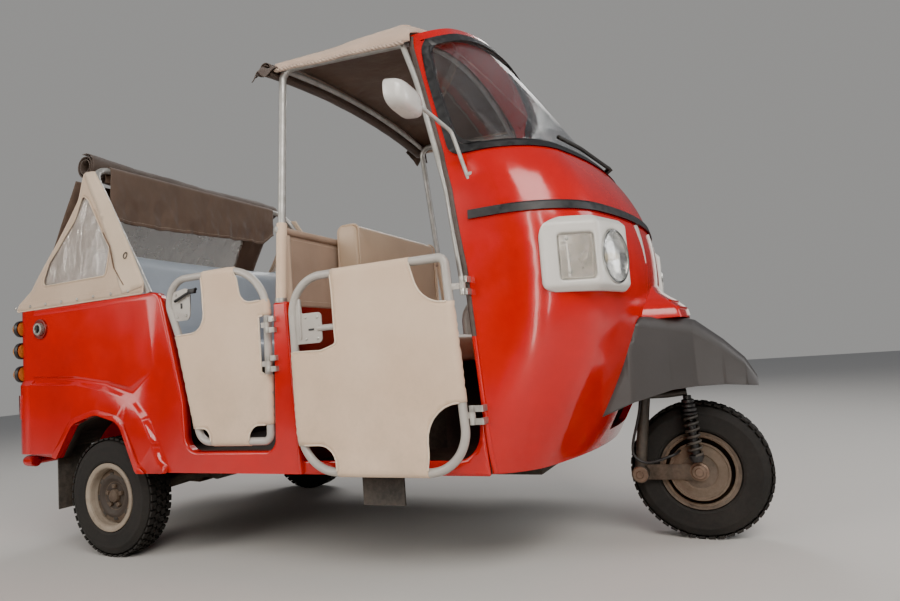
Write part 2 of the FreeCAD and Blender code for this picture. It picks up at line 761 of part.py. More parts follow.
DOORWAY_FOOT_STATION = 1150.5
PANEL_OUTLINE = (
    # station, height, corner radius: round the pillar, the doorway and the quarter
    (1056, SILL_LOW_Z, 0),
    (1079.5, PILLAR_TOP_Z, 6),
    (1130, PILLAR_TOP_Z, 4),
    (DOORWAY_FOOT_STATION, DOOR_SILL_Z, 40),
    (1518, DOOR_SILL_Z, 50),
    (1524, 530, 150),
    (1614, BODY_TOP_Z, 45),
    (SEAM_STATION, BODY_TOP_Z, 0),
    (SEAM_STATION, 365, 0),
    (2130, 350, 0),
    (1728, SILL_LOW_Z, 0),
)
DOORWAY_LIP = 9.0
ARCH_PROFILE = (
    # station, height, corner radius
    (1700, 280, 0),
    (1728, 310, 0),
    (1800, 470, 70),
    (1920, 502, 90),
    (2040, 470, 70),
    (2130, 350, 0),
    (2150, 280, 0),
)


FLARE_RIDGE = (
    # station, height of the ridge over the rear wheel, from the seam forward to the sill
    (SEAM_STATION, 620),
    (2019, 607),
    (1888, 582),
    (1763, 546),
    (1694, 479),
    (1651, 395),
    (1617, 330),
    (1600, 290),
)
FLARE_DEPTH = 20.0
FLARE_SLOPE = 20.0
QUARTER_CORNERS = (
    # station, height of the swelling above the flare
    (1660, 640),
    (1672, 880),
    (SEAM_STATION, 880),
    (SEAM_STATION, 652),
    (2019, 640),
    (1888, 620),
    (1763, 590),
)
QUARTER_DEPTH = 7.0


def raised(corners, depth, slope):
    # A pressed form: the corners' outline stands proud, its foot wider by the slope.
    middle_station = sum(station for station, _ in corners) / len(corners)
    middle_z = sum(z for _, z in corners) / len(corners)
    wires = []
    for y, spread in ((-BODY_HALF_WIDTH + 1, slope), (-BODY_HALF_WIDTH - depth, 0)):
        points = []
        for station, z in corners:
            away = vec(middle_station - station, 0, z - middle_z).normalize() * spread
            points.append(vec(at(station), y, z) + away)
        wires.append(Part.makePolygon(points + points[:1]))
    return Part.makeLoft(wires, True, True)


def flare(arch):
    corners = FLARE_RIDGE + ((1700, 200), (SEAM_STATION, 200))
    form = raised(corners, FLARE_DEPTH, FLARE_SLOPE)
    lip = [(at(s) + (s - WHEELBASE) * -0.09, z + 18, r) for s, z, r in ARCH_PROFILE]
    rim = side_prism(lip, -BODY_HALF_WIDTH - FLARE_DEPTH - 6, -BODY_HALF_WIDTH)
    rim = rim.common(block(at(2200), at(1640), -OUTBOARD, -OUTBOARD + 100, SILL_LOW_Z, 600))
    bounds = side_prism((
        (at(1600), SILL_LOW_Z, 0),
        (at(1600), 700, 0),
        (at(SEAM_STATION), 700, 0),
        (at(SEAM_STATION), 365, 0),
        (at(2130), 350, 0),
        (at(1728), SILL_LOW_Z, 0),
    ), -OUTBOARD, -OUTBOARD + 100)
    return form.fuse(rim).common(bounds).cut(arch)


def quarter_swell():
    form = raised(QUARTER_CORNERS, QUARTER_DEPTH, 12.0)
    return form.common(block(at(SEAM_STATION), at(1640), -OUTBOARD, -OUTBOARD + 100, 500, BODY_TOP_Z))


def side_panel():
    outer = -BODY_HALF_WIDTH
    panel = side_prism([(at(s), z, r) for s, z, r in PANEL_OUTLINE], outer, outer + SIDE_WALL)
    lip = []
    for edge in panel.Edges:
        middle = edge.CenterOfMass
        in_doorway = at(1640) < middle.x < at(1126) and middle.z > DOOR_SILL_Z - 1 and middle.z < BODY_TOP_Z - 1
        if in_doorway and abs(edge.BoundBox.YMax - outer) < 0.01:
            lip.append(edge)
    panel = panel.makeFillet(DOORWAY_LIP, lip)
    arch = side_prism([(at(s), z, r) for s, z, r in ARCH_PROFILE], outer - 50, outer + 90)
    panel = panel.cut(arch)
    well_y1 = -WELL_INNER_Y
    well = disc(REAR_AXLE_X, AXLE_Z, ARCH_RADIUS + 6, outer + SIDE_WALL, well_y1)
    well = well.cut(disc(REAR_AXLE_X, AXLE_Z, ARCH_RADIUS, outer, well_y1 - 6))
    well = well.common(block(-2000, 2000, -OUTBOARD, 0, DOOR_SILL_Z + 16, 900))
    return panel.fuse([well, flare(arch), quarter_swell()])


def tail_outline(inset, bulge, corner, height):
    half = BODY_HALF_WIDTH - inset + bulge
    rear = at(TAIL_STATION) + inset
    front = at(SEAM_STATION) - FIT_GAP
    return rounded_path((
        (vec(front, -half, height), 0),
        (vec(rear, -half, height), corner),
        (vec(rear, half, height), corner),
        (vec(front, half, height), 0),
    ), True)


def tail_form(inset):
    face = Part.Face(tail_outline(inset, 0, TAIL_CORNER - inset, 365))
    return face.extrude(vec(0, 0, BODY_TOP_Z - 365))


def tail_flare():
    wires = []
    for height, bulge in ((365, FLARE_DEPTH), (620, FLARE_DEPTH), (640, 0)):
        wires.append(tail_outline(0, bulge, TAIL_CORNER + bulge, height))
    return Part.makeLoft(wires, True, True)


PLATE_SPACING = 180.0
PLATE_HOLE_RADIUS = 3.5
PLATE_Z = 790.0
LID_HALF_WIDTH = 330.0
LID_LOW_Z = 430.0
LID_HIGH_Z = 720.0
LID_GAP = 6.0
LID_HINGE_OUT = 9.0
LID_HINGE_Z = 722.0
LID_HINGE_Y = 190.0


def tail():
    half = BODY_HALF_WIDTH - SIDE_WALL
    mouth = block(at(SEAM_STATION) - 40, at(SEAM_STATION) + 10, -half, half, 365, BODY_TOP_Z)
    cavity = tail_form(SIDE_WALL).fuse(mouth)
    shell = tail_form(0).fuse(tail_flare()).cut(cavity)
    rear = at(TAIL_STATION)
    hole = front_prism((
        (-LID_HALF_WIDTH, LID_LOW_Z, 30),
        (LID_HALF_WIDTH, LID_LOW_Z, 30),
        (LID_HALF_WIDTH, LID_HIGH_Z, 30),
        (-LID_HALF_WIDTH, LID_HIGH_Z, 30),
    ), rear - 20, rear + 60)
    plate_holes = []
    for y in (-PLATE_SPACING / 2, PLATE_SPACING / 2):
        plate_holes.append(Part.makeCylinder(PLATE_HOLE_RADIUS, 80, vec(rear - 20, y, PLATE_Z), vec(1, 0, 0)))
    half_knuckle = KNUCKLE_HEIGHT / 2
    lid_knuckles = []
    tail_knuckles = []
    hinge_x = rear - LID_HINGE_OUT
    for side in (-1, 1):
        middle = side * LID_HINGE_Y
        y0 = middle - half_knuckle
        y1 = middle + half_knuckle
        barrel = disc(hinge_x, LID_HINGE_Z, HINGE_KNUCKLE_RADIUS, y0, y1)
        strap = block(rear - 3, rear + 1, y0, y1, LID_HINGE_Z - 46, LID_HIGH_Z - 2)
        hole_round = disc(hinge_x, LID_HINGE_Z, HINGE_PIN_RADIUS + PIN_GAP, y0 - 1, y1 + 1)
        lid_knuckles.append(barrel.fuse(strap).cut(hole_round))
        tail_knuckles.append(disc(hinge_x, LID_HINGE_Z, HINGE_PIN_RADIUS, y0 - KNUCKLE_HEIGHT, y1 + KNUCKLE_HEIGHT))
        for low in (y0 - PIN_GAP - KNUCKLE_HEIGHT, y1 + PIN_GAP):
            high = low + KNUCKLE_HEIGHT
            tail_knuckles.append(disc(hinge_x, LID_HINGE_Z, HINGE_KNUCKLE_RADIUS, low, high))
            tail_knuckles.append(block(rear - 3, rear + 1, low, high, LID_HINGE_Z, LID_HINGE_Z + 26))
    save("tail_panel", shell.cut([hole] + plate_holes).fuse(tail_knuckles))
    half = LID_HALF_WIDTH - LID_GAP
    lid = front_prism((
        (-half, LID_LOW_Z + LID_GAP, 26),
        (half, LID_LOW_Z + LID_GAP, 26),
        (half, LID_HIGH_Z - LID_GAP, 26),
        (-half, LID_HIGH_Z - LID_GAP, 26),
    ), rear, rear + 14)
    for index in range(5):
        z = LID_LOW_Z + 70 + index * 34
        slot = block(rear - 5, rear + 20, -200, 200, z, z + 12)
        lid = lid.cut(slot)
    save("engine_lid", lid.fuse(lid_knuckles))
    bar = tube((
        (vec(rear + 70, -BODY_HALF_WIDTH + 40, 330), 0),
        (vec(rear - 4, -BODY_HALF_WIDTH + 40, 330), 40),
        (vec(rear - 4, BODY_HALF_WIDTH - 40, 330), 40),
        (vec(rear + 70, BODY_HALF_WIDTH - 40, 330), 0),
    ), 20)
    stays = []
    for y in (-250, 250):
        stays.append(block(rear, at(2260), y - 15, y + 15, CAB_FLOOR_Z, 345))
    save("rear_bumper", bar.fuse(stays))


def tail_lamps():
    lamps = []
    for side in (-1, 1):
        for z in (666, 756, 842):
            base = vec(at(TAIL_STATION) + 22, side * (BODY_HALF_WIDTH - 22), z)
            out = vec(-1, side * 0.35, 0).normalize()
            lamp = Part.makeCylinder(30, 26, base - out * 6, out)
            lamps.append(lamp.cut([tail_form(0), tail_flare()]))
    save("tail_lamps", *lamps)


def small_body_pieces():
    outer = -BODY_HALF_WIDTH
    face = outer - QUARTER_DEPTH
    cap = disc(at(2229), 828, 38, face - 10, face)
    save("filler_cap", cap)
    flap = block(at(2172), at(2167), outer + 8, outer + 140, 162, 353)
    flap = flap.fuse(block(at(2172), at(2167), outer + SIDE_WALL + FIT_GAP, outer + 140, 300, 410))
    skirt = block(at(870), at(735), -580, -572, 208, 300 - FIT_GAP)
    save("mud_flaps", flap, mirrored(flap), skirt, mirrored(skirt))


# Doors

DRIVER_DOOR_Y = BODY_HALF_WIDTH + RUN_GAP + DOOR_TUBE_RADIUS
PASSENGER_DOOR_Y = BODY_HALF_WIDTH - DOOR_TUBE_RADIUS
DRIVER_DOOR = (
    # station, height, corner radius
    (1029, 311, 118),
    (1044, 876, 108),
    (533, 876, 22),
    (502, 311, 112),
)
PASSENGER_DOOR = (
    (1458, 396, 50),
    (1533, 730, 300),
    (1612, 936, 78),
    (1158, 936, 150),
    (1172, 396, 24),
)
DRIVER_CANVAS = (
    (892, 884, 0),
    (639, 884, 0),
    (629, 846, 60),
    (610, 757, 86),
    (516, 757, 0),
    (502, 492, 0),
    (617, 492, 100),
    (614, 356, 90),
    (621, 306, 0),
    (905, 302, 0),
    (906, 388, 58),
    (1032, 388, 0),
    (1046, 658, 0),
    (938, 656, 60),
    (888, 672, 12),
)
PASSENGER_CANVAS = (
    (1286, 940, 0),
    (1268, 905, 30),
    (1258, 826, 44),
    (1154, 828, 0),
    (1156, 780, 0),
    (1186, 778, 6),
    (1185, 606, 6),
    (1161, 596, 0),
    (1164, 448, 0),
    (1240, 446, 40),
    (1250, 388, 0),
    (1402, 388, 0),
    (1408, 441, 34),
    (1478, 442, 0),
    (1546, 745, 0),
    (1414, 752, 60),
    (1419, 940, 0),
)


def hinges(axis_x, axis_y, table, carrier_y):
    # Middle knuckles on the door's tube; outer knuckles and pins on the body's bracket.
    moving = []
    fixed = []
    half = KNUCKLE_HEIGHT / 2
    leaf = HINGE_LEAF / 2
    for z, reach, tube_x, tube_y in table:
        centre = vec(axis_x, axis_y, z)
        up = vec(0, 0, 1)
        barrel = Part.makeCylinder(HINGE_KNUCKLE_RADIUS, KNUCKLE_HEIGHT, centre - up * half)
        hole = Part.makeCylinder(HINGE_PIN_RADIUS + PIN_GAP, KNUCKLE_HEIGHT * 2, centre - up * KNUCKLE_HEIGHT)
        plate = block(tube_x - 4, axis_x, axis_y - leaf, axis_y + leaf, z - half, z + half)
        foot = block(tube_x - 4, tube_x + 4, axis_y - leaf, max(tube_y, axis_y) + leaf, z - half, z + half)
        moving.append(barrel.fuse([plate, foot]).cut(hole))
        pin = Part.makeCylinder(HINGE_PIN_RADIUS, 3 * KNUCKLE_HEIGHT, centre - up * (1.5 * KNUCKLE_HEIGHT))
        solids = []
        tip = axis_x + reach
        for low in (z - half - PIN_GAP - KNUCKLE_HEIGHT, z + half + PIN_GAP):
            solids.append(Part.makeCylinder(HINGE_KNUCKLE_RADIUS, KNUCKLE_HEIGHT, vec(axis_x, axis_y, low)))
            high = low + KNUCKLE_HEIGHT
            solids.append(block(axis_x, tip, axis_y - leaf, axis_y + leaf, low, high))
            solids.append(block(tip - 8, tip, axis_y - leaf, carrier_y, low, high))
        fixed.append(pin.fuse(solids))
    return moving, fixed


DRIVER_LATCH = (
    # station, height, corner radius
    (1040, 680, 4),
    (938, 680, 14),
    (938, 769, 14),
    (1008, 769, 6),
    (1010, 813, 4),
    (1043, 813, 4),
)
PASSENGER_LATCH = (
    (1560, 796, 8),
    (1486, 796, 18),
    (1480, 906, 22),
    (1570, 892, 10),
)
DRIVER_BRACE = (950.0, 524.5, 722.0, 9.0)      # from the latch to the front tube, height, radius
DRIVER_HINGE_X = at(486)
DRIVER_HINGES = ((458.0, 31.0), (794.0, 14.0))         # height, reach ahead of the pin
PASSENGER_HINGE_X = at(1146)
PASSENGER_HINGES = ((631.0, 28.0), (749.0, 28.0))
DOOR_TABLE = (
    # name, outline, distance from the middle, canvas, hinge x, hinges, hinge y, bracket reach, latch
    ("driver_door", DRIVER_DOOR, DRIVER_DOOR_Y, DRIVER_CANVAS, DRIVER_HINGE_X, DRIVER_HINGES,
     DRIVER_DOOR_Y, BODY_HALF_WIDTH - 24, DRIVER_LATCH),
    ("passenger_door", PASSENGER_DOOR, PASSENGER_DOOR_Y, PASSENGER_CANVAS, PASSENGER_HINGE_X,
     PASSENGER_HINGES, BODY_HALF_WIDTH + 12, BODY_HALF_WIDTH - 4, PASSENGER_LATCH),
)


def doors():
    # Saves the doors and returns, by door, the brackets that their pins stand in.
    brackets = {}
    for name, outline, y, canvas, hinge_x, heights, hinge_y, carrier, latch_corners in DOOR_TABLE:
        frame = tube([(vec(at(s), -y, z), r) for s, z, r in outline], DOOR_TUBE_RADIUS, True)
        low_x, low_z = at(outline[-1][0]), outline[-1][1]
        high_x, high_z = at(outline[-2][0]), outline[-2][1]
        table = []
        for z, reach in heights:
            share = (z - low_z) / (high_z - low_z)
            table.append((z, reach, low_x + (high_x - low_x) * share, -y))
        moving, fixed = hinges(hinge_x, -hinge_y, table, -carrier)
        extras = [side_prism([(at(s), z, r) for s, z, r in latch_corners], -y - 2, -y + 2)]
        if name == "driver_door":
            start, end, z, radius = DRIVER_BRACE
            extras.append(rod(vec(at(start), -y, z), vec(at(end), -y, z), radius))
        frame = frame.fuse(moving + extras)
        skin_y = -y - DOOR_TUBE_RADIUS - FIT_GAP
        skin = side_prism([(at(s), z, r) for s, z, r in canvas], skin_y - CANVAS, skin_y)
        save(name + "_right", frame)
        save(name + "_left", mirrored(frame))
        save(name + "_canvas_right", skin)
        save(name + "_canvas_left", mirrored(skin))
        brackets[name] = fixed
    return brackets


# Seats

def cushion(x0, x1, half, z0, z1, radius):
    return side_prism(((x0, z0, radius), (x1, z0, radius), (x1, z1, radius), (x0, z1, radius)), -half, half)


def seats():
    seat = cushion(at(1088), at(690), 250, SEAT_BOX_TOP + FIT_GAP, 680, 25)
    save("driver_cushion", seat)
    back = side_prism((
        (at(1104), 680 + FIT_GAP, 20),
        (at(1015), 680 + FIT_GAP, 20),
        (at(1010), 1095, 25),
        (at(1096), 1095, 25),
    ), -300, 300)
    save("driver_backrest", back)
    bench = cushion(at(2080), at(BENCH_STATION) + 20, BODY_HALF_WIDTH - 60, BENCH_DECK_Z + FIT_GAP, 735, 30)
    save("bench_cushion", bench)
    bench_back = side_prism((
        (at(2090), 735 + FIT_GAP, 25),
        (at(1985), 735 + FIT_GAP, 25),
        (at(2010), 1118, 35),
        (at(2105), 1118, 35),
    ), -BODY_HALF_WIDTH + 120, BODY_HALF_WIDTH - 120)
    save("bench_backrest", bench_back)


# Canopy, hood and their frames

POST_FOOT = vec(at(1112), -BODY_HALF_WIDTH + 20, PILLAR_TOP_Z)
POST_HEAD = vec(at(1137), -CANOPY_HALF_WIDTH + 30, 1604)
HEADER = vec(at(684), -CANOPY_HALF_WIDTH + 30, 1566)
PILLAR_TUBE_RADIUS = 9.0
PILLAR_TUBE = (
    # station, distance from the middle, height, corner radius
    (497, BODY_HALF_WIDTH - 16, 790, 0),
    (531, BODY_HALF_WIDTH - 32, 1064, 400),
    (634, BODY_HALF_WIDTH - 100, 1431, 900),
    (684, BODY_HALF_WIDTH - 120, 1566, 0),
)
CANOPY_ROLL_RADIUS = 24.0
CANOPY_ROLL_REACH = 45.0        # of each end, past the posts
CANOPY_SECTIONS = (
    # station, half width, edge height, shoulder height, crown height
    (1146.5, CANOPY_HALF_WIDTH, 1590, 1620, 1662),
    (668, CANOPY_HALF_WIDTH - 6, 1558, 1588, 1699),
)
HEADER_CROWN_Z = 1678.0
POST_CROWN_Z = 1639.0


def arch_corner(half, low, high):
    # Height and radius of the corner in the middle that makes one arc between two sides.
    rise = high - low
    radius = (half ** 2 + rise ** 2) / (2 * rise)
    return low + half * math.tan(2 * math.atan(rise / half)), radius * 0.97


def canopy():
    side = tube((
        (POST_FOOT, 0),
        (POST_HEAD, 40),
        (HEADER, 0),
    ), POST_RADIUS)
    cross = []
    arches = []
    for point, crown in ((POST_HEAD, POST_CROWN_Z), (HEADER, HEADER_CROWN_Z)):
        apex, radius = arch_corner(-point.y, point.z, crown)
        arches.append((
            (point, 0),
            (vec(point.x, 0, apex), radius),
            (vec(point.x, -point.y, point.z), 0),
        ))
        cross.append(tube(arches[-1], POST_RADIUS - 2))
    rail_y = BODY_HALF_WIDTH - 32
    rail = rod(vec(at(1130), -rail_y, 1048), vec(at(1130), rail_y, 1048), 10)
    leg = tube([(vec(at(station), -y, z), radius) for station, y, z, radius in PILLAR_TUBE], PILLAR_TUBE_RADIUS)
    frame = side.fuse([mirrored(side), rail, leg, mirrored(leg)] + cross)
    save("canopy_frame", frame.cut(block(-400, 400, -OUTBOARD, OUTBOARD, 0, PILLAR_TOP_Z)))

    def cover_form(inset):
        wires = []
        for station, half_width, edge, shoulder, crown in CANOPY_SECTIONS:
            x = at(station) + (inset if station < 1000 else -inset)
            side = half_width - inset
            apex, radius = arch_corner(side, shoulder - inset, crown - inset)
            wires.append(rounded_path([
                (vec(x, -side, edge - inset), 0),
                (vec(x, -side, shoulder - inset), 6),
                (vec(x, 0, apex), radius),
                (vec(x, side, shoulder - inset), 6),
                (vec(x, side, edge - inset), 0),
            ], True))
        return Part.makeLoft(wires, True, True)

    save("front_canopy", cover_form(0).cut(cover_form(CLOTH)))
    behind = vec(-(POST_RADIUS - 2) - CANOPY_ROLL_RADIUS - FIT_GAP, 0, 0)
    start, middle, end = arches[0]
    slope = math.atan2(middle[0].z - start[0].z, -start[0].y)
    reach = vec(0, math.cos(slope), math.sin(slope)) * CANOPY_ROLL_REACH
    roll = tube((
        (start[0] + behind - reach, 0),
        (middle[0] + behind, middle[1]),
        (end[0] + behind + vec(0, reach.y, -reach.z), 0),
    ), CANOPY_ROLL_RADIUS)
    save("canopy_roll", roll)
    strip_y = BODY_HALF_WIDTH - 60
    strip = block(at(1132), at(1128), -strip_y, strip_y, PILLAR_TOP_Z - 10 + FIT_GAP, 1048 - 10 - FIT_GAP)
    save("partition_canvas", strip)


def hood():
    foot = vec(at(BOW_FOOT_STATION), -BODY_HALF_WIDTH + 20, BODY_TOP_Z)
    head = vec(at(BOW_TOP_STATION), -BODY_HALF_WIDTH + 60, BOW_TOP_Z)
    bow = tube((
        (foot, 0),
        (head, 90),
        (vec(head.x, -head.y, head.z), 90),
        (vec(foot.x, -foot.y, foot.z), 0),
    ), BOW_RADIUS)
    save("hood_bow", bow.cut(block(-900, 0, -OUTBOARD, OUTBOARD, 0, BODY_TOP_Z)))
    roll_x = head.x - BOW_RADIUS - HOOD_ROLL_RADIUS - FIT_GAP
    save("hood_roll", disc(roll_x, head.z, HOOD_ROLL_RADIUS, head.y + 30, -head.y - 30))
    rear_x = at(TAIL_STATION) + 24
    outer = -BODY_HALF_WIDTH
    skin = side_prism([(at(s), z, r) for s, z, r in HOOD_SIDE], outer + 2, outer + 8)
    window = side_prism([(at(s), z, r) for s, z, r in HOOD_WINDOW], outer - 20, outer + 20)
    pane = side_prism([(at(s), z, r) for s, z, r in HOOD_WINDOW], outer + 4, outer + 6)
    skin = skin.cut(window)
    save("hood_sides", skin, mirrored(skin))
    curtain = side_prism((
        (rear_x + 4, BODY_TOP_Z + FIT_GAP, 0),
        (rear_x + 10, BODY_TOP_Z + FIT_GAP, 0),
        (head.x - 94, BOW_TOP_Z - 36, 0),
        (head.x - 100, BOW_TOP_Z - 36, 0),
    ), head.y, -head.y)
    opening = block(-3000, 0, -400, 400, BODY_TOP_Z + 120, BOW_TOP_Z - 140)
    pane_rear = curtain.common(opening)
    save("hood_curtain", curtain.cut(opening))
    save("hood_windows", pane, mirrored(pane), pane_rear)


def mirrors():
    glass_x = at(600)
    housing = front_prism((
        (-BODY_HALF_WIDTH - 192, 1244, 30),
        (-BODY_HALF_WIDTH - 70, 1244, 30),
        (-BODY_HALF_WIDTH - 70, 1322, 30),
        (-BODY_HALF_WIDTH - 192, 1322, 30),
    ), glass_x, glass_x + 50)
    stalk = tube((
        (vec(glass_x + 50, -BODY_HALF_WIDTH - 120, 1300), 0),
        (vec(at(560), -BODY_HALF_WIDTH - 80, 1310), 30),
        (vec(at(505), -BODY_HALF_WIDTH + 20, 1190), 60),
        (vec(at(493), -BODY_HALF_WIDTH + 60, 1130), 0),
    ), 6)
    mirror = housing.fuse(stalk).cut(CAB_OUTER)
    save("mirrors", mirror, mirrored(mirror))


door_brackets = doors()
cab()
nose()
fender()
lamps()
wiper()
dashboard()
chassis()
floors()
engine()
rear_arms()
panel = side_panel()
save("side_panel_right", panel)
save("side_panel_left", mirrored(panel))
driver_hinges = [bracket.cut(CAB_OUTER) for bracket in door_brackets["driver_door"]]
passenger_hinges = [bracket.cut(panel) for bracket in door_brackets["passenger_door"]]
hinge_halves = driver_hinges + passenger_hinges
save("door_hinges", *hinge_halves, *[mirrored(half) for half in hinge_halves])
tail()
tail_lamps()
small_body_pieces()
seats()
canopy()
hood()
mirrors()
front_wheel()
rear_wheel(-1, "right")
rear_wheel(1, "left")
steering()
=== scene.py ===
import math
import random

import bmesh
import bpy
from mathutils import Matrix, Vector, noise
from mathutils.bvhtree import BVHTree
from mathutils.geometry import delaunay_2d_cdt


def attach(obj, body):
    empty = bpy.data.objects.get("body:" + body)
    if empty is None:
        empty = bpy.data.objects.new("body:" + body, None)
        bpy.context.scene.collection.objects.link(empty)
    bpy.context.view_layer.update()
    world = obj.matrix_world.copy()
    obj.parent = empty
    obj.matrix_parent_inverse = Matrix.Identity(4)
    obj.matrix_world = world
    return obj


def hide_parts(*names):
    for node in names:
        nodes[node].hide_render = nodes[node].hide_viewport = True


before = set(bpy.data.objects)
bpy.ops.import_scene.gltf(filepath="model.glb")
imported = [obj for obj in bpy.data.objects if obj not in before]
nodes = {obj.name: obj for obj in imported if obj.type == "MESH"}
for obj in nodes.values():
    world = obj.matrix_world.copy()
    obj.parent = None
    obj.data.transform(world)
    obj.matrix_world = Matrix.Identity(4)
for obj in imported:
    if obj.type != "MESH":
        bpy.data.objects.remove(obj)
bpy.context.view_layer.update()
print("frame loaded", len(nodes))

# Metres, in the frame's axes. A station is a distance behind the front axle.
vehicle = {"frontAxleX": 1.1175, "wheelbase": 1.92, "axleHeight": 0.2075}


def at(station):
    return vehicle["frontAxleX"] - station


# The photo's camera: its place, its own directions and its lens.
view = {
    "place": (1.2885, -2.157, 0.616),
    "rightward": (0.904, 0.421, -0.075),
    "forward": (-0.415, 0.906, 0.085),
    "lens": 25.48,
    "sensor": 36.0,
}


def makeCamera():
    forward = Vector(view["forward"]).normalized()
    rightward = Vector(view["rightward"])
    rightward = (rightward - forward * rightward.dot(forward)).normalized()
    upward = rightward.cross(forward)
    camera = linked("camera", bpy.data.cameras.new("camera"))
    camera.data.lens = view["lens"]
    camera.data.sensor_width = view["sensor"]
    camera.data.clip_end = 60
    turn = Matrix((rightward, upward, -forward)).transposed().to_4x4()
    camera.matrix_world = Matrix.Translation(view["place"]) @ turn
    bpy.context.scene.camera = camera


studio = {
    "floorHalf": 14.0,
    "floorColour": (0.62, 0.605, 0.58, 1),
    "floorPatch": (0.66, 0.645, 0.62, 1),
    "skyHigh": (0.55, (0.62, 0.64, 0.68, 1)),  # share of the way up, colour
    "skyLow": (0.02, (0.12, 0.115, 0.11, 1)),
    "skyStrength": 0.5,
    "backdrop": (0.86, 0.85, 0.83, 1),
    "look": "AgX - Punchy",
    "exposure": 0.32,
    "lamps": (
        # name, place, aims at, width, height, watts, colour
        ("keyLight", (3.2, -3.4, 4.2), (0.3, 0, 0.8), 3.2, 2.2, 260, (1.0, 0.96, 0.9)),
        ("sideLight", (-2.8, -4.2, 2.4), (-0.3, 0, 0.7), 2.6, 2.6, 150, (1.0, 0.95, 0.88)),
        ("streakLight", (1.9, -3.6, 1.3), (0.7, -0.5, 0.8), 0.22, 2.6, 34, (1.0, 0.93, 0.84)),
        ("slimLight", (2.75, -3.1, 1.5), (0.7, -0.5, 0.9), 0.12, 2.4, 20, (1.0, 0.96, 0.92)),
        ("backLight", (-1.5, 4.0, 4.0), (0, 0, 0.9), 3.0, 2.0, 150, (1.0, 0.98, 0.95)),
        ("noseLight", (4.6, 1.2, 1.9), (0.9, 0, 0.8), 1.6, 2.4, 70, (1.0, 1.0, 1.0)),
    ),
}


def makeStudio():
    half = studio["floorHalf"]
    floor = meshPiece("floor", [(-half, -half, 0), (half, -half, 0), (half, half, 0), (-half, half, 0)],
                      [(0, 1, 2, 3)])
    material, shader, tree = startMaterial("paleFloor", roughness=0.78)
    speckle = groupNode(tree, "grain", Scale=9.0, Amount=0.1)
    mixColour(tree, speckle.outputs["Mask"], studio["floorColour"], studio["floorPatch"], shader.inputs["Base Color"])
    floor.data.materials.append(material)
    for name, place, target, width, height, watts, colour in studio["lamps"]:
        light = bpy.data.lights.new(name, "AREA")
        light.shape = "RECTANGLE"
        light.size, light.size_y, light.energy, light.color = width, height, watts, colour
        lamp = linked(name, light)
        lamp.location = place
        lamp.rotation_euler = (Vector(target) - Vector(place)).to_track_quat("-Z", "Y").to_euler()
    world = bpy.data.worlds.new("studioSky")
    world.use_nodes = True
    bpy.context.scene.world = world
    bpy.context.scene.view_settings.look = studio["look"]
    bpy.context.scene.view_settings.exposure = studio["exposure"]
    sky = world.node_tree
    ramp = sky.nodes.new("ShaderNodeValToRGB")
    for element, (position, colour) in zip(ramp.color_ramp.elements, (studio["skyLow"], studio["skyHigh"])):
        element.position, element.color = position, colour
    height = splitNode(sky, sky.nodes.new("ShaderNodeTexCoord").outputs["Generated"])["Z"]
    sky.links.new(height, ramp.inputs[0])
    seen = sky.nodes.new("ShaderNodeMix")
    seen.data_type = "RGBA"
    sky.links.new(sky.nodes.new("ShaderNodeLightPath").outputs["Is Camera Ray"], seen.inputs["Factor"])
    sky.links.new(ramp.outputs[0], seen.inputs[6])
    seen.inputs[7].default_value = studio["backdrop"]
    sky.links.new(seen.outputs[2], sky.nodes["Background"].inputs["Color"])
    sky.nodes["Background"].inputs["Strength"].default_value = studio["skyStrength"]


def meshPiece(name, points, faces, material=None, sharp=35):
    mesh = bpy.data.meshes.new(name)
    mesh.from_pydata([tuple(p) for p in points], [], faces)
    mesh.validate()
    mesh.update()
    return wrapMesh(name, mesh, material, sharp)


def linked(name, data):
    piece = bpy.data.objects.new(name, data)
    bpy.context.scene.collection.objects.link(piece)
    return piece


def gridFaces(rows, count, closed=False):
    # quads between neighbouring rows of points
    faces = []
    for j in range(rows - 1):
        for i in range(count if closed else count - 1):
            a, b = j * count + i, j * count + (i + 1) % count
            faces.append((a, b, b + count, a + count))
    return faces


def wrapMesh(name, mesh, material=None, sharp=35):
    piece = linked(name, mesh)
    mesh.shade_smooth()
    mesh.set_sharp_from_angle(angle=math.radians(sharp))
    if material:
        mesh.materials.append(material)
    return piece


def outward(piece, merge=0.00002):
    # merges doubles, then turns every face outwards
    work = bmesh.new()
    work.from_mesh(piece.data)
    bmesh.ops.remove_doubles(work, verts=work.verts, dist=merge)
    bmesh.ops.recalc_face_normals(work, faces=work.faces)
    work.to_mesh(piece.data)
    work.free()
    return piece


def baked(piece):
    # the evaluated mesh with its modifiers applied
    graph = bpy.context.evaluated_depsgraph_get()
    mesh = bpy.data.meshes.new_from_object(piece.evaluated_get(graph))
    piece.modifiers.clear()
    piece.data = mesh
    return piece


def treeOf(*pieces):
    points, faces = [], []
    for piece in pieces:
        first = len(points)
        points += [vertex.co.copy() for vertex in piece.data.vertices]
        faces += [tuple(first + i for i in polygon.vertices) for polygon in piece.data.polygons]
    return BVHTree.FromPolygons(points, faces)


def joined(name, pieces):
    work = bmesh.new()
    materials = []
    for piece in pieces:
        start = len(work.faces)
        work.from_mesh(piece.data)
        work.faces.ensure_lookup_table()
        slots = []
        for material in piece.data.materials:
            if material not in materials:
                materials.append(material)
            slots.append(materials.index(material))
        for index in range(start, len(work.faces)):
            face = work.faces[index]
            face.material_index = slots[face.material_index] if slots else 0
    mesh = bpy.data.meshes.new(name)
    work.to_mesh(mesh)
    work.free()
    for material in materials:
        mesh.materials.append(material)
    for piece in pieces:
        bpy.data.objects.remove(piece)
    return linked(name, mesh)


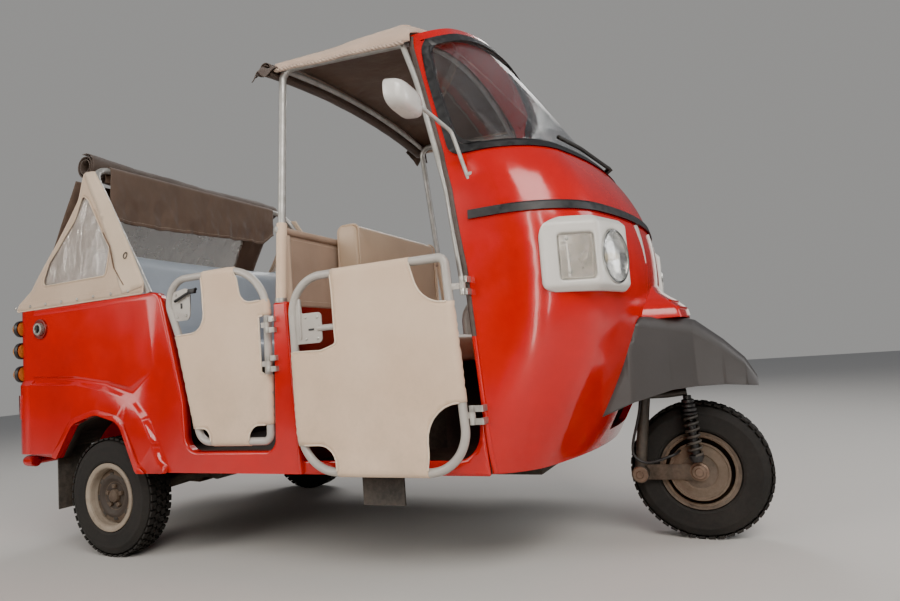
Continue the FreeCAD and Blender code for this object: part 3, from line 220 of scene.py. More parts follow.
def lathe(name, profile, centre, material=None, steps=72, axis="Y", sharp=35):
    # profile rows are radius and offset along the axis; a closed ring
    points, faces = [], []
    count = len(profile)
    for step in range(steps):
        angle = 2 * math.pi * step / steps
        c, s = math.cos(angle), math.sin(angle)
        for radius, offset in profile:
            local = {"Y": (radius * c, offset, radius * s), "X": (offset, radius * c, radius * s),
                     "Z": (radius * c, radius * s, offset)}[axis]
            points.append(Vector(centre) + Vector(local))
    for step in range(steps):
        a, b = step * count, ((step + 1) % steps) * count
        for i in range(count - 1):
            faces.append((a + i, b + i, b + i + 1, a + i + 1))
    piece = meshPiece(name, points, faces, material, sharp)
    outward(piece)
    piece.data.set_sharp_from_angle(angle=math.radians(sharp))
    return piece


def tubeAlong(name, route, radius, material=None, cyclic=False, smooth=True, sides=6, fill=True):
    curve = bpy.data.curves.new(name + "Line", "CURVE")
    curve.dimensions = "3D"
    curve.resolution_u = 6
    curve.bevel_depth = radius
    curve.bevel_resolution = sides
    curve.use_fill_caps = fill
    spline = curve.splines.new("NURBS" if smooth else "POLY")
    spline.points.add(len(route) - 1)
    for point, place in zip(spline.points, route):
        point.co = (*place, 1)
    spline.use_cyclic_u = cyclic
    if smooth:
        spline.order_u = 3
        spline.use_endpoint_u = not cyclic
    holder = linked(name + "Line", curve)
    graph = bpy.context.evaluated_depsgraph_get()
    mesh = bpy.data.meshes.new_from_object(holder.evaluated_get(graph))
    bpy.data.objects.remove(holder)
    mesh.materials.clear()
    return wrapMesh(name, mesh, material, 50)


def roundedLine(corners, closed=False, arcSteps=7):
    # corners are (u, v, radius); straight runs joined by arcs, as flat points
    count = len(corners)
    line = []
    for index, (u, v, radius) in enumerate(corners):
        here = Vector((u, v))
        if radius <= 0 or (not closed and index in (0, count - 1)):
            line.append(here)
            continue
        before = (Vector(corners[index - 1][:2]) - here).normalized()
        after = (Vector(corners[(index + 1) % count][:2]) - here).normalized()
        half = before.angle(after) / 2
        reach = radius / math.tan(half)
        centre = here + (before + after).normalized() * (radius / math.sin(half))
        start, end = here + before * reach - centre, here + after * reach - centre
        sweep = start.angle_signed(end)
        for step in range(arcSteps + 1):
            turned = start.copy()
            turned.rotate(Matrix.Rotation(-sweep * step / arcSteps, 2))
            line.append(centre + turned)
    return line


def inLine(line, point):
    # is the flat point inside the closed line
    inside = False
    x, y = point
    for a, b in zip(line, line[1:] + line[:1]):
        if (a[1] > y) != (b[1] > y) and x < (b[0] - a[0]) * (y - a[1]) / (b[1] - a[1]) + a[0]:
            inside = not inside
    return inside


def spacedLine(line, step, closed=True):
    points = []
    pairs = list(zip(line, line[1:] + line[:1])) if closed else list(zip(line, line[1:]))
    for a, b in pairs:
        parts = max(1, round((b - a).length / step))
        for k in range(parts):
            points.append(a.lerp(b, k / parts))
    if not closed:
        points.append(line[-1])
    return points


def flatPanel(name, outline, holes, step, place, material, thickness=0.0, seed=1):
    # a sheet cut to the outline; place(u, v) gives each point its spot in the frame; uv in metres
    rng = random.Random(seed)
    loops = [spacedLine(outline, step)] + [spacedLine(hole, step) for hole in holes]
    flat, edges = [], []
    for loop in loops:
        first = len(flat)
        flat += loop
        edges += [(first + i, first + (i + 1) % len(loop)) for i in range(len(loop))]
    lowU, highU = min(p[0] for p in outline), max(p[0] for p in outline)
    lowV, highV = min(p[1] for p in outline), max(p[1] for p in outline)
    rows = int((highV - lowV) / (step * 0.87)) + 1
    columns = int((highU - lowU) / step) + 1
    rim = [p for loop in loops for p in loop]
    for row in range(rows + 1):
        for column in range(columns + 1):
            spot = Vector((lowU + (column + 0.5 * (row % 2)) * step + rng.uniform(-0.1, 0.1) * step,
                           lowV + row * step * 0.87))
            if not inLine(outline, spot) or any(inLine(hole, spot) for hole in holes):
                continue
            if min((spot - p).length_squared for p in rim) > (0.55 * step) ** 2:
                flat.append(spot)
    found = delaunay_2d_cdt(flat, edges, [], 1, 1e-6)
    spots, faces = found[0], found[2]
    kept = []
    for face in faces:
        middle = sum((spots[i] for i in face), Vector((0, 0))) / len(face)
        if inLine(outline, middle) and not any(inLine(hole, middle) for hole in holes):
            kept.append(tuple(face))
    piece = meshPiece(name, [place(p[0], p[1]) for p in spots], kept, material, 60)
    layer = piece.data.uv_layers.new(name="clothMap")
    for loop in piece.data.loops:
        layer.data[loop.index].uv = spots[loop.vertex_index]
    if thickness:
        solid = piece.modifiers.new("wall", "SOLIDIFY")
        solid.thickness = thickness
        solid.offset = 0
        baked(piece)
    return outward(piece, 0.00001)


def ruffle(u, v, size, seed):
    # gentle cloth unevenness, from -1 to 1
    broad = noise.noise(Vector((u / size, v / size, seed * 7.3)))
    fine = noise.noise(Vector((u / size * 2.3, v / size * 2.3, seed * 3.1)))
    return broad * 0.7 + fine * 0.3


def newGroup(name, outputs, **inputs):
    group = bpy.data.node_groups.new(name, "ShaderNodeTree")
    for label, default in inputs.items():
        kind = "NodeSocketVector" if isinstance(default, tuple) else "NodeSocketFloat"
        group.interface.new_socket(label, in_out="INPUT", socket_type=kind).default_value = default
    for label in outputs:
        group.interface.new_socket(label, in_out="OUTPUT", socket_type="NodeSocketFloat")
    return group, group.nodes.new("NodeGroupInput").outputs, group.nodes.new("NodeGroupOutput").inputs


def objectSpace(tree):
    return tree.nodes.new("ShaderNodeTexCoord").outputs["Object"]


def splitNode(tree, vector):
    node = tree.nodes.new("ShaderNodeSeparateXYZ")
    tree.links.new(vector, node.inputs[0])
    return node.outputs


def vectorNode(tree, operation, first, second=None):
    node = tree.nodes.new("ShaderNodeVectorMath")
    node.operation = operation
    for socket, value in zip(node.inputs, (first, second)):
        if isinstance(value, tuple):
            socket.default_value = value
        elif value is not None:
            tree.links.new(value, socket)
    return node.outputs


def mathNode(tree, operation, a, b=None, clamp=False):
    node = tree.nodes.new("ShaderNodeMath")
    node.operation = operation
    node.use_clamp = clamp
    for socket, value in zip(node.inputs, (a, b)):
        if value is None:
            continue
        if isinstance(value, (int, float)):
            socket.default_value = value
        else:
            tree.links.new(value, socket)
    return node.outputs[0]


def rangeNode(tree, value, low, high, toLow=0.0, toHigh=1.0):
    node = tree.nodes.new("ShaderNodeMapRange")
    tree.links.new(value, node.inputs["Value"])
    for label, amount in (("From Min", low), ("From Max", high), ("To Min", toLow), ("To Max", toHigh)):
        if isinstance(amount, (int, float)):
            node.inputs[label].default_value = amount
        else:
            tree.links.new(amount, node.inputs[label])
    return node.outputs["Result"]


def noiseNode(tree, vector, scale, detail=3.0, roughness=0.55):
    node = tree.nodes.new("ShaderNodeTexNoise")
    node.inputs["Detail"].default_value = detail
    node.inputs["Roughness"].default_value = roughness
    if vector is not None:
        tree.links.new(vector, node.inputs["Vector"])
    if isinstance(scale, (int, float)):
        node.inputs["Scale"].default_value = scale
    else:
        tree.links.new(scale, node.inputs["Scale"])
    return node.outputs["Fac"]


def makeGrain():
    # fine unevenness over a surface
    group, given, out = newGroup("grain", ("Mask", "Height"), Scale=40.0, Amount=1.0)
    fine = noiseNode(group, objectSpace(group), given["Scale"], 6.0, 0.6)
    spread = rangeNode(group, fine, 0.35, 0.65)
    group.links.new(mathNode(group, "MULTIPLY", spread, given["Amount"], True), out["Mask"])
    group.links.new(mathNode(group, "MULTIPLY", fine, given["Amount"]), out["Height"])


def makeDust():
    # road dirt, thick low down and thin on top, broken up by noise
    group, given, out = newGroup("roadDust", ("Mask",), Low=0.15, High=0.75, Amount=0.6)
    where = objectSpace(group)
    height = rangeNode(group, splitNode(group, where)["Z"], given["High"], given["Low"])
    cloud = rangeNode(group, noiseNode(group, where, 7.0, 8.0, 0.65), 0.34, 0.68)
    fleck = rangeNode(group, noiseNode(group, where, 90.0, 3.0, 0.6), 0.4, 0.75)
    broken = mathNode(group, "ADD", mathNode(group, "MULTIPLY", cloud, 0.75),
                      mathNode(group, "MULTIPLY", fleck, 0.35))
    mask = mathNode(group, "MULTIPLY", mathNode(group, "MULTIPLY", height, broken), given["Amount"], True)
    group.links.new(mask, out["Mask"])


def makeEdgeWear():
    # chipped and rubbed corners, found where the surface turns sharply
    group, given, out = newGroup("edgeWear", ("Mask",), Width=0.004, Chips=60.0, Amount=1.0)
    rounded = group.nodes.new("ShaderNodeBevel")
    rounded.samples = 3
    group.links.new(given["Width"], rounded.inputs["Radius"])
    normal = group.nodes.new("ShaderNodeNewGeometry").outputs["Normal"]
    turn = vectorNode(group, "DOT_PRODUCT", rounded.outputs[0], normal)["Value"]
    edge = rangeNode(group, turn, 0.99, 0.86)
    chips = rangeNode(group, noiseNode(group, objectSpace(group), given["Chips"], 5.0, 0.7), 0.48, 0.6)
    mask = mathNode(group, "MULTIPLY", mathNode(group, "MULTIPLY", edge, chips), given["Amount"], True)
    group.links.new(mask, out["Mask"])


def makeWeave():
    # plain weave on the cloth's own map: threads per metre, over and under
    group, given, out = newGroup("plainWeave", ("Height", "Gaps"), Threads=900.0, Unevenness=0.3)
    cloth = group.nodes.new("ShaderNodeUVMap")
    cloth.uv_map = "clothMap"
    drift = mathNode(group, "MULTIPLY", noiseNode(group, cloth.outputs[0], 14.0, 2.0), 0.004)
    pitch = mathNode(group, "MULTIPLY", given["Threads"], math.pi)
    split = splitNode(group, cloth.outputs[0])
    waves = []
    for label in ("X", "Y"):
        turns = mathNode(group, "MULTIPLY", mathNode(group, "ADD", split[label], drift), pitch)
        waves.append(mathNode(group, "SINE", turns))
    over = mathNode(group, "MULTIPLY", mathNode(group, "MULTIPLY", waves[0], waves[1]), 0.35)
    ridges = mathNode(group, "MAXIMUM", *[mathNode(group, "ABSOLUTE", wave) for wave in waves])
    slub = mathNode(group, "MULTIPLY", noiseNode(group, cloth.outputs[0], 260.0, 2.0), given["Unevenness"])
    group.links.new(mathNode(group, "ADD", over, mathNode(group, "ADD", ridges, slub)), out["Height"])
    group.links.new(rangeNode(group, ridges, 0.55, 0.2), out["Gaps"])


def makeCreases():
    # soft folds and small wrinkles in cloth or vinyl
    group, given, out = newGroup("creases", ("Height",), Scale=9.0, Stretch=(1.0, 1.0, 0.35))
    pulled = vectorNode(group, "MULTIPLY", objectSpace(group), given["Stretch"])[0]
    large = noiseNode(group, pulled, given["Scale"], 2.0, 0.5)
    folded = mathNode(group, "ABSOLUTE", mathNode(group, "SUBTRACT", large, 0.5))
    small = noiseNode(group, pulled, mathNode(group, "MULTIPLY", given["Scale"], 4.3), 3.0, 0.55)
    height = mathNode(group, "ADD", mathNode(group, "MULTIPLY", folded, 1.6),
                      mathNode(group, "MULTIPLY", small, 0.25))
    group.links.new(height, out["Height"])


def startMaterial(name, **sockets):
    material = bpy.data.materials.new(name)
    material.use_nodes = True
    shader = material.node_tree.nodes["Principled BSDF"]
    labels = {"colour": "Base Color", "roughness": "Roughness", "metallic": "Metallic", "coat": "Coat Weight",
              "coatRoughness": "Coat Roughness", "sheen": "Sheen Weight", "sheenRoughness": "Sheen Roughness",
              "transmission": "Transmission Weight", "ior": "IOR", "alpha": "Alpha"}
    for key, value in sockets.items():
        shader.inputs[labels[key]].default_value = (*value, 1) if key == "colour" else value
    return material, shader, material.node_tree


def groupNode(tree, groupName, **inputs):
    node = tree.nodes.new("ShaderNodeGroup")
    node.node_tree = bpy.data.node_groups[groupName]
    for label, value in inputs.items():
        node.inputs[label].default_value = value
    return node


def mixColour(tree, factor, first, second, target):
    node = tree.nodes.new("ShaderNodeMix")
    node.data_type = "RGBA"
    tree.links.new(factor, node.inputs["Factor"])
    for socket, value in ((node.inputs[6], first), (node.inputs[7], second)):
        if isinstance(value, tuple):
            socket.default_value = value if len(value) == 4 else (*value, 1)
        else:
            tree.links.new(value, socket)
    if target is not None:
        tree.links.new(node.outputs[2], target)
    return node.outputs[2]


def bump(tree, height, strength, distance, shader, before=None):
    node = tree.nodes.new("ShaderNodeBump")
    node.inputs["Strength"].default_value = strength
    node.inputs["Distance"].default_value = distance
    tree.links.new(height, node.inputs["Height"])
    if before is not None:
        tree.links.new(before, node.inputs["Normal"])
    tree.links.new(node.outputs[0], shader.inputs["Normal"])
    return node.outputs[0]


finishes = {
    # paint: colour, second colour, roughness, coat, dust amount, dust top, chips, chip colour
    "redPaint": ((0.6, 0.002, 0.0013), (0.46, 0.0014, 0.001), 0.16, 0.34, 0.16, 0.5, 0.35, (0.16, 0.02, 0.012)),
    # a darker, duller copy of the red paint for the bulkhead inside the cab and the filler cap's recess; the darkness
    # is painted shade
    "shadedRedPaint": ((0.2, 0.01, 0.008), (0.14, 0.008, 0.007), 0.4, 0.2, 0.5, 0.8, 0.3, (0.05, 0.02, 0.015)),
    "wheelPaint": ((0.36, 0.3, 0.235), (0.27, 0.215, 0.16), 0.55, 0.0, 0.9, 0.45, 0.6, (0.12, 0.08, 0.05)),
    "whitePaint": ((0.74, 0.73, 0.7), (0.66, 0.64, 0.6), 0.25, 0.5, 0.15, 1.0, 0.2, (0.35, 0.34, 0.32)),
    "silverPaint": ((0.5, 0.47, 0.43), (0.4, 0.37, 0.34), 0.34, 0.2, 0.22, 0.9, 0.7, (0.16, 0.12, 0.09)),
    "blackPaint": ((0.022, 0.021, 0.02), (0.035, 0.032, 0.028), 0.48, 0.0, 0.7, 0.5, 0.5, (0.1, 0.07, 0.05)),
    "dustyIron": ((0.06, 0.04, 0.028), (0.105, 0.062, 0.042), 0.72, 0.0, 0.9, 0.6, 0.6, (0.25, 0.2, 0.16)),
}
dustColour = (0.2, 0.155, 0.115)
rubberDust = (0.13, 0.105, 0.085)


def makePaints():
    made = {}
    for name, (first, second, rough, coat, dust, dustTop, chips, chipColour) in finishes.items():
        material, shader, tree = startMaterial(name, roughness=rough, coat=coat, coatRoughness=0.06)
        drift = groupNode(tree, "grain", Scale=3.2, Amount=0.8)
        base = mixColour(tree, drift.outputs["Mask"], first, second, None)
        wear = groupNode(tree, "edgeWear", Width=0.003, Chips=85.0, Amount=chips)
        chipped = mixColour(tree, wear.outputs["Mask"], base, chipColour, None)
        dirt = groupNode(tree, "roadDust", Low=0.12, High=dustTop, Amount=dust)
        mixColour(tree, dirt.outputs["Mask"], chipped, dustColour, shader.inputs["Base Color"])
        dull = mathNode(tree, "ADD", mathNode(tree, "MULTIPLY", dirt.outputs["Mask"], 0.45),
                        mathNode(tree, "MULTIPLY", wear.outputs["Mask"], 0.25))
        smear = groupNode(tree, "grain", Scale=11.0, Amount=0.08)
        tree.links.new(mathNode(tree, "ADD", mathNode(tree, "ADD", dull, smear.outputs["Mask"]), rough, True),
                       shader.inputs["Roughness"])
        peel = groupNode(tree, "grain", Scale=150.0 if coat > 0.3 else 320.0, Amount=1.0)
        bump(tree, peel.outputs["Height"], 0.05 if coat > 0.3 else 0.18, 0.0006, shader)
        made[name] = material
    return made


def addGrime(material, axle, inner, outer, colour):
    # brake dust and grease towards the middle of a wheel
    tree = material.node_tree
    target = tree.nodes["Principled BSDF"].inputs["Base Color"]
    offset = vectorNode(tree, "SUBTRACT", objectSpace(tree), axle)[0]
    distance = vectorNode(tree, "LENGTH", vectorNode(tree, "MULTIPLY", offset, (1, 0, 1))[0])["Value"]
    cloud = noiseNode(tree, offset, 34.0, 4.0)
    ragged = mathNode(tree, "MULTIPLY", mathNode(tree, "SUBTRACT", cloud, 0.5), 0.01)
    mask = rangeNode(tree, mathNode(tree, "ADD", distance, ragged), outer, inner)
    mixColour(tree, mask, target.links[0].from_socket, colour, target)


def makeIron(name, colour, second, metallic, rough, dust=0.6):
    material, shader, tree = startMaterial(name, roughness=rough)
    mottle = groupNode(tree, "grain", Scale=26.0, Amount=1.0)
    base = mixColour(tree, mottle.outputs["Mask"], colour, second, None)
    dirt = groupNode(tree, "roadDust", Low=0.1, High=0.62, Amount=dust)
    mixColour(tree, dirt.outputs["Mask"], base, dustColour, shader.inputs["Base Color"])
    tree.links.new(rangeNode(tree, dirt.outputs["Mask"], 0.0, 1.0, metallic, 0.05), shader.inputs["Metallic"])
    tree.links.new(rangeNode(tree, mottle.outputs["Mask"], 0.0, 1.0, rough, min(1.0, rough + 0.25)),
                   shader.inputs["Roughness"])
    bump(tree, mottle.outputs["Height"], 0.5, 0.001, shader)
    return material


def makeRubber(name, colour, rough, grainSize, dust):
    material, shader, tree = startMaterial(name, roughness=rough)
    fine = groupNode(tree, "grain", Scale=grainSize, Amount=1.0)
    lighter = tuple(min(1.0, c * 1.7 + 0.01) for c in colour)
    base = mixColour(tree, fine.outputs["Mask"], colour, lighter, None)
    dirt = groupNode(tree, "roadDust", Low=0.02, High=0.7, Amount=dust)
    mixColour(tree, dirt.outputs["Mask"], base, rubberDust, shader.inputs["Base Color"])
    tree.links.new(rangeNode(tree, fine.outputs["Mask"], 0.0, 1.0, rough, min(1.0, rough + 0.2)),
                   shader.inputs["Roughness"])
    bump(tree, fine.outputs["Height"], 0.25, 0.0008, shader)
    return material


def makeCanvas(name, colour, stain, threads, creaseScale, creaseStretch, rough=0.88, creaseDepth=0.004):
    material, shader, tree = startMaterial(name, roughness=rough, sheen=0.18, sheenRoughness=0.5)
    weave = groupNode(tree, "plainWeave", Threads=threads)
    patch = groupNode(tree, "grain", Scale=4.5, Amount=0.75)
    base = mixColour(tree, patch.outputs["Mask"], colour, stain, None)
    shade = tuple(c * 0.55 for c in colour)
    woven = mixColour(tree, mathNode(tree, "MULTIPLY", weave.outputs["Gaps"], 0.55), base, shade, None)
    dirt = groupNode(tree, "roadDust", Low=0.2, High=0.85, Amount=0.28)
    mixColour(tree, dirt.outputs["Mask"], woven, dustColour, shader.inputs["Base Color"])
    fold = groupNode(tree, "creases", Scale=creaseScale, Stretch=creaseStretch)
    large = bump(tree, fold.outputs["Height"], 0.55, creaseDepth, shader)
    bump(tree, weave.outputs["Height"], 0.35, 0.0006, shader, large)
    return material


def makeVinyl(name, colour, second, rough=0.42):
    material, shader, tree = startMaterial(name, roughness=rough, coat=0.08, coatRoughness=0.35)
    patch = groupNode(tree, "grain", Scale=6.0, Amount=0.7)
    mixColour(tree, patch.outputs["Mask"], colour, second, shader.inputs["Base Color"])
    pores = tree.nodes.new("ShaderNodeTexVoronoi")
    pores.inputs["Scale"].default_value = 420.0
    tree.links.new(objectSpace(tree), pores.inputs["Vector"])
    fold = groupNode(tree, "creases", Scale=13.0, Stretch=(1.0, 1.0, 1.0))
    large = bump(tree, fold.outputs["Height"], 0.25, 0.003, shader)
    bump(tree, pores.outputs["Distance"], 0.22, 0.0005, shader, large)
    return material


def makeGlass(name, colour, rough, alpha, transmission=1.0, ior=1.45, smears=0.05, metallic=0.0):
    material, shader, tree = startMaterial(name, colour=colour, transmission=transmission, ior=ior, alpha=alpha,
                                           metallic=metallic)
    smear = groupNode(tree, "grain", Scale=6.0, Amount=smears)
    tree.links.new(mathNode(tree, "ADD", smear.outputs["Mask"], rough, True), shader.inputs["Roughness"])
    return material


def makePane(name, colour, rough, alpha, clear, depth=0.016):
    # soft window sheet: hazy, with long wrinkles that catch the light
    material, shader, tree = startMaterial(name, colour=colour, transmission=clear, ior=1.4, alpha=alpha)
    haze = groupNode(tree, "grain", Scale=5.0, Amount=0.1)
    tree.links.new(mathNode(tree, "ADD", haze.outputs["Mask"], rough, True), shader.inputs["Roughness"])
    fold = groupNode(tree, "creases", Scale=7.0, Stretch=(1.6, 1.0, 0.55))
    bump(tree, fold.outputs["Height"], 0.8, depth, shader)
    return material


def makeLens(name, colour, ribs, rough=0.1, clear=0.0):
    # moulded lens with fine ribs
    material, shader, tree = startMaterial(name, colour=colour, roughness=rough, coat=0.8, coatRoughness=0.04,
                                           transmission=clear, alpha=1.0 - clear * 0.35)
    wave = tree.nodes.new("ShaderNodeTexWave")
    wave.inputs["Scale"].default_value = ribs
    wave.bands_direction = "DIAGONAL"
    tree.links.new(objectSpace(tree), wave.inputs["Vector"])
    bump(tree, wave.outputs["Fac"], 0.3, 0.0012, shader)
    patch = groupNode(tree, "grain", Scale=30.0, Amount=0.4)
    darker = tuple(c * 0.72 for c in colour)
    mixColour(tree, patch.outputs["Mask"], colour, darker, shader.inputs["Base Color"])
    return material


recipes = (
    # key, maker, the material's name, then what the maker takes
    ("iron", makeIron, "dirtyIron", (0.11, 0.075, 0.055), (0.045, 0.035, 0.03), 0.35, 0.55),
    ("bronze", makeIron, "bronzedBoss", (0.25, 0.165, 0.12), (0.15, 0.1, 0.075), 0.75, 0.4, 0.4),
    ("zinc", makeIron, "zincPlate", (0.55, 0.54, 0.5), (0.38, 0.36, 0.33), 0.85, 0.34, 0.25),
    ("tube", makeIron, "silverTube", (0.52, 0.51, 0.49), (0.42, 0.41, 0.38), 0.6, 0.36, 0.1),
    # black rubber, also used as painted shade in holes, slots and recesses
    ("gasket", makeRubber, "gasketRubber", (0.01, 0.01, 0.011), 0.38, 60.0, 0.15),
    ("tyre", makeRubber, "tyreRubber", (0.006, 0.0057, 0.0055), 0.76, 130.0, 0.12),
    ("plastic", makeVinyl, "fenderPlastic", (0.056, 0.051, 0.05), (0.046, 0.042, 0.041), 0.46),
    # dark brown for the upper part of the cab's rear lip: painted reflection of dark surroundings on the red flange
    ("edgeSeal", makeRubber, "edgeSeal", (0.05, 0.034, 0.028), 0.42, 60.0, 0.2),
    ("flap", makeRubber, "flapRubber", (0.02, 0.019, 0.018), 0.7, 90.0, 0.8),
    # black underbody finish, also painted shade in the hub discs' vent holes
    ("underbody", makeRubber, "underbodyBlack", (0.02, 0.018, 0.016), 0.75, 45.0, 0.8),
    ("canvas", makeCanvas, "creamCanvas", (0.8, 0.61, 0.45), (0.71, 0.52, 0.37), 700.0, 5.0, (1.0, 1.0, 0.5)),
    ("hoodCanvas", makeCanvas, "hoodCanvas", (0.6, 0.46, 0.34), (0.5, 0.37, 0.27), 700.0, 8.0, (1.0, 1.0, 0.3)),
    ("roofCanvas", makeCanvas, "roofCanvas", (0.64, 0.48, 0.38), (0.5, 0.36, 0.28), 700.0, 7.0, (1.0, 0.4, 1.0), 0.88,
     0.006),
    ("brownCanvas", makeCanvas, "brownCanvas", (0.15, 0.098, 0.072), (0.1, 0.066, 0.05), 650.0, 9.0, (1.0, 1.0, 0.45),
     0.8, 0.01),
    ("rollCanvas", makeCanvas, "rolledCanvas", (0.105, 0.074, 0.06), (0.062, 0.046, 0.038), 650.0, 16.0,
     (1.0, 0.25, 1.0), 0.8, 0.008),
    ("piping", makeCanvas, "brownPiping", (0.16, 0.095, 0.06), (0.1, 0.06, 0.04), 900.0, 30.0, (1.0, 1.0, 1.0)),
    ("seatBeige", makeVinyl, "beigeVinyl", (0.55, 0.41, 0.29), (0.48, 0.35, 0.24)),
    ("seatGrey", makeVinyl, "greyVinyl", (0.42, 0.48, 0.55), (0.36, 0.41, 0.47)),
    ("glass", makeGlass, "clearGlass", (0.95, 0.97, 0.97), 0.0, 0.3, 1.0, 1.45, 0.0),
    ("vinylPane", makePane, "hazyPane", (0.86, 0.78, 0.71), 0.13, 0.55, 0.62),
    ("lampGlass", makeGlass, "lampGlass", (0.96, 0.95, 0.92), 0.02, 0.45),
    ("indicator", makeLens, "indicatorLens", (0.86, 0.8, 0.72), 130.0, 0.08, 0.82),
    ("tailLens", makeLens, "tailLens", (0.76, 0.3, 0.075), 60.0),
    ("redLens", makeLens, "redReflector", (0.48, 0.02, 0.015), 70.0),
    ("mirror", makeGlass, "mirrorFace", (0.86, 0.88, 0.9), 0.03, 1.0, 0.0, 1.45, 0.05, 1.0),
    ("hem", makeCanvas, "hemCanvas", (0.84, 0.7, 0.55), (0.76, 0.61, 0.47), 900.0, 12.0, (1.0, 1.0, 1.0)),
    ("bandCanvas", makeCanvas, "bandCanvas", (0.7, 0.56, 0.43), (0.6, 0.47, 0.35), 700.0, 12.0, (1.0, 1.0, 0.4)),
    ("rope", makeCanvas, "roofRope", (0.6, 0.47, 0.38), (0.42, 0.31, 0.25), 900.0, 30.0, (1.0, 1.0, 1.0)),
    ("thread", makeRubber, "thread", (0.55, 0.45, 0.35), 0.8, 300.0, 0.1),
    ("partition", makeCanvas, "partitionCanvas", (0.42, 0.29, 0.21), (0.33, 0.225, 0.16), 650.0, 8.0,
     (1.0, 1.0, 0.5)),
    ("hazyPane", makePane, "hazyRearPane", (0.8, 0.76, 0.7), 0.2, 0.55, 0.6, 0.004),
    ("podWhite", makeVinyl, "podPlastic", (0.7, 0.68, 0.64), (0.64, 0.62, 0.58), 0.3),
    ("bulb", makeVinyl, "frostedBulb", (0.85, 0.78, 0.62), (0.8, 0.72, 0.55), 0.25),
    ("chrome", makeIron, "reflectorMetal", (0.78, 0.78, 0.76), (0.7, 0.7, 0.68), 1.0, 0.08, 0.0),
)


def makeFinishes():
    return {key: maker(*values) for key, maker, *values in recipes}


makeGrain()
makeDust()
makeEdgeWear()
makeWeave()
makeCreases()
finish = makePaints()
finish.update(makeFinishes())
addGrime(finish["wheelPaint"], (at(vehicle["wheelbase"]), 0, vehicle["axleHeight"]), 0.078, 0.09,
         (0.045, 0.034, 0.027, 1))
print("materials", len(finish))


def newNodes(name, inputs):
    # a geometry node tree for small parts that repeat
    tree = bpy.data.node_groups.new(name, "GeometryNodeTree")
    tree.interface.new_socket("Geometry", in_out="INPUT", socket_type="NodeSocketGeometry")
    for label, kind, default in inputs:
        socket = tree.interface.new_socket(label, in_out="INPUT", socket_type="NodeSocket" + kind)
        if default is not None:
            socket.default_value = default
    tree.interface.new_socket("Geometry", in_out="OUTPUT", socket_type="NodeSocketGeometry")
    return tree, tree.nodes.new("NodeGroupInput").outputs, tree.nodes.new("NodeGroupOutput").inputs


def endNodes(tree, geometry, material, target, smooth):
    whole = tree.nodes.new("GeometryNodeRealizeInstances")
    tree.links.new(geometry, whole.inputs[0])
    shaded = tree.nodes.new("GeometryNodeSetShadeSmooth")
    shaded.inputs["Shade Smooth"].default_value = smooth
    tree.links.new(whole.outputs[0], shaded.inputs["Geometry"])
    painted = tree.nodes.new("GeometryNodeSetMaterial")
    tree.links.new(shaded.outputs[0], painted.inputs["Geometry"])
    tree.links.new(material, painted.inputs["Material"])
    tree.links.new(painted.outputs[0], target)


def makeBeads():
    # small rounded bodies along a line, each lying along it with its top towards "outwards"
    tree, given, out = newNodes("beadsAlong", (
        ("Spacing", "Float", 0.01), ("Length", "Float", 0.006), ("Width", "Float", 0.001), ("Height", "Float", 0.001),
        ("Material", "Material", None),
    ))
    new, link = tree.nodes.new, tree.links.new
    curve = new("GeometryNodeMeshToCurve")
    link(given["Geometry"], curve.inputs[0])
    spaced = new("GeometryNodeResampleCurve")
    spaced.mode = "LENGTH"
    link(curve.outputs[0], spaced.inputs["Curve"])
    link(given["Spacing"], spaced.inputs["Length"])
    facing = new("GeometryNodeInputNamedAttribute")
    facing.data_type = "FLOAT_VECTOR"
    facing.inputs["Name"].default_value = "outwards"
    lying = new("FunctionNodeAlignRotationToVector")
    lying.axis = "X"
    link(new("GeometryNodeInputTangent").outputs[0], lying.inputs["Vector"])
    upright = new("FunctionNodeAlignRotationToVector")
    upright.axis, upright.pivot_axis = "Z", "X"
    link(lying.outputs[0], upright.inputs["Rotation"])
    link(facing.outputs["Attribute"], upright.inputs["Vector"])
    ball = new("GeometryNodeMeshUVSphere")
    for label, value in (("Segments", 8), ("Rings", 6), ("Radius", 0.5)):
        ball.inputs[label].default_value = value
    size = new("ShaderNodeCombineXYZ")
    for label, socket in (("Length", "X"), ("Width", "Y"), ("Height", "Z")):
        link(given[label], size.inputs[socket])
    placed = new("GeometryNodeInstanceOnPoints")
    link(spaced.outputs[0], placed.inputs["Points"])
    link(ball.outputs["Mesh"], placed.inputs["Instance"])
    link(upright.outputs[0], placed.inputs["Rotation"])
    link(size.outputs[0], placed.inputs["Scale"])
    endNodes(tree, placed.outputs[0], given["Material"], out["Geometry"], True)


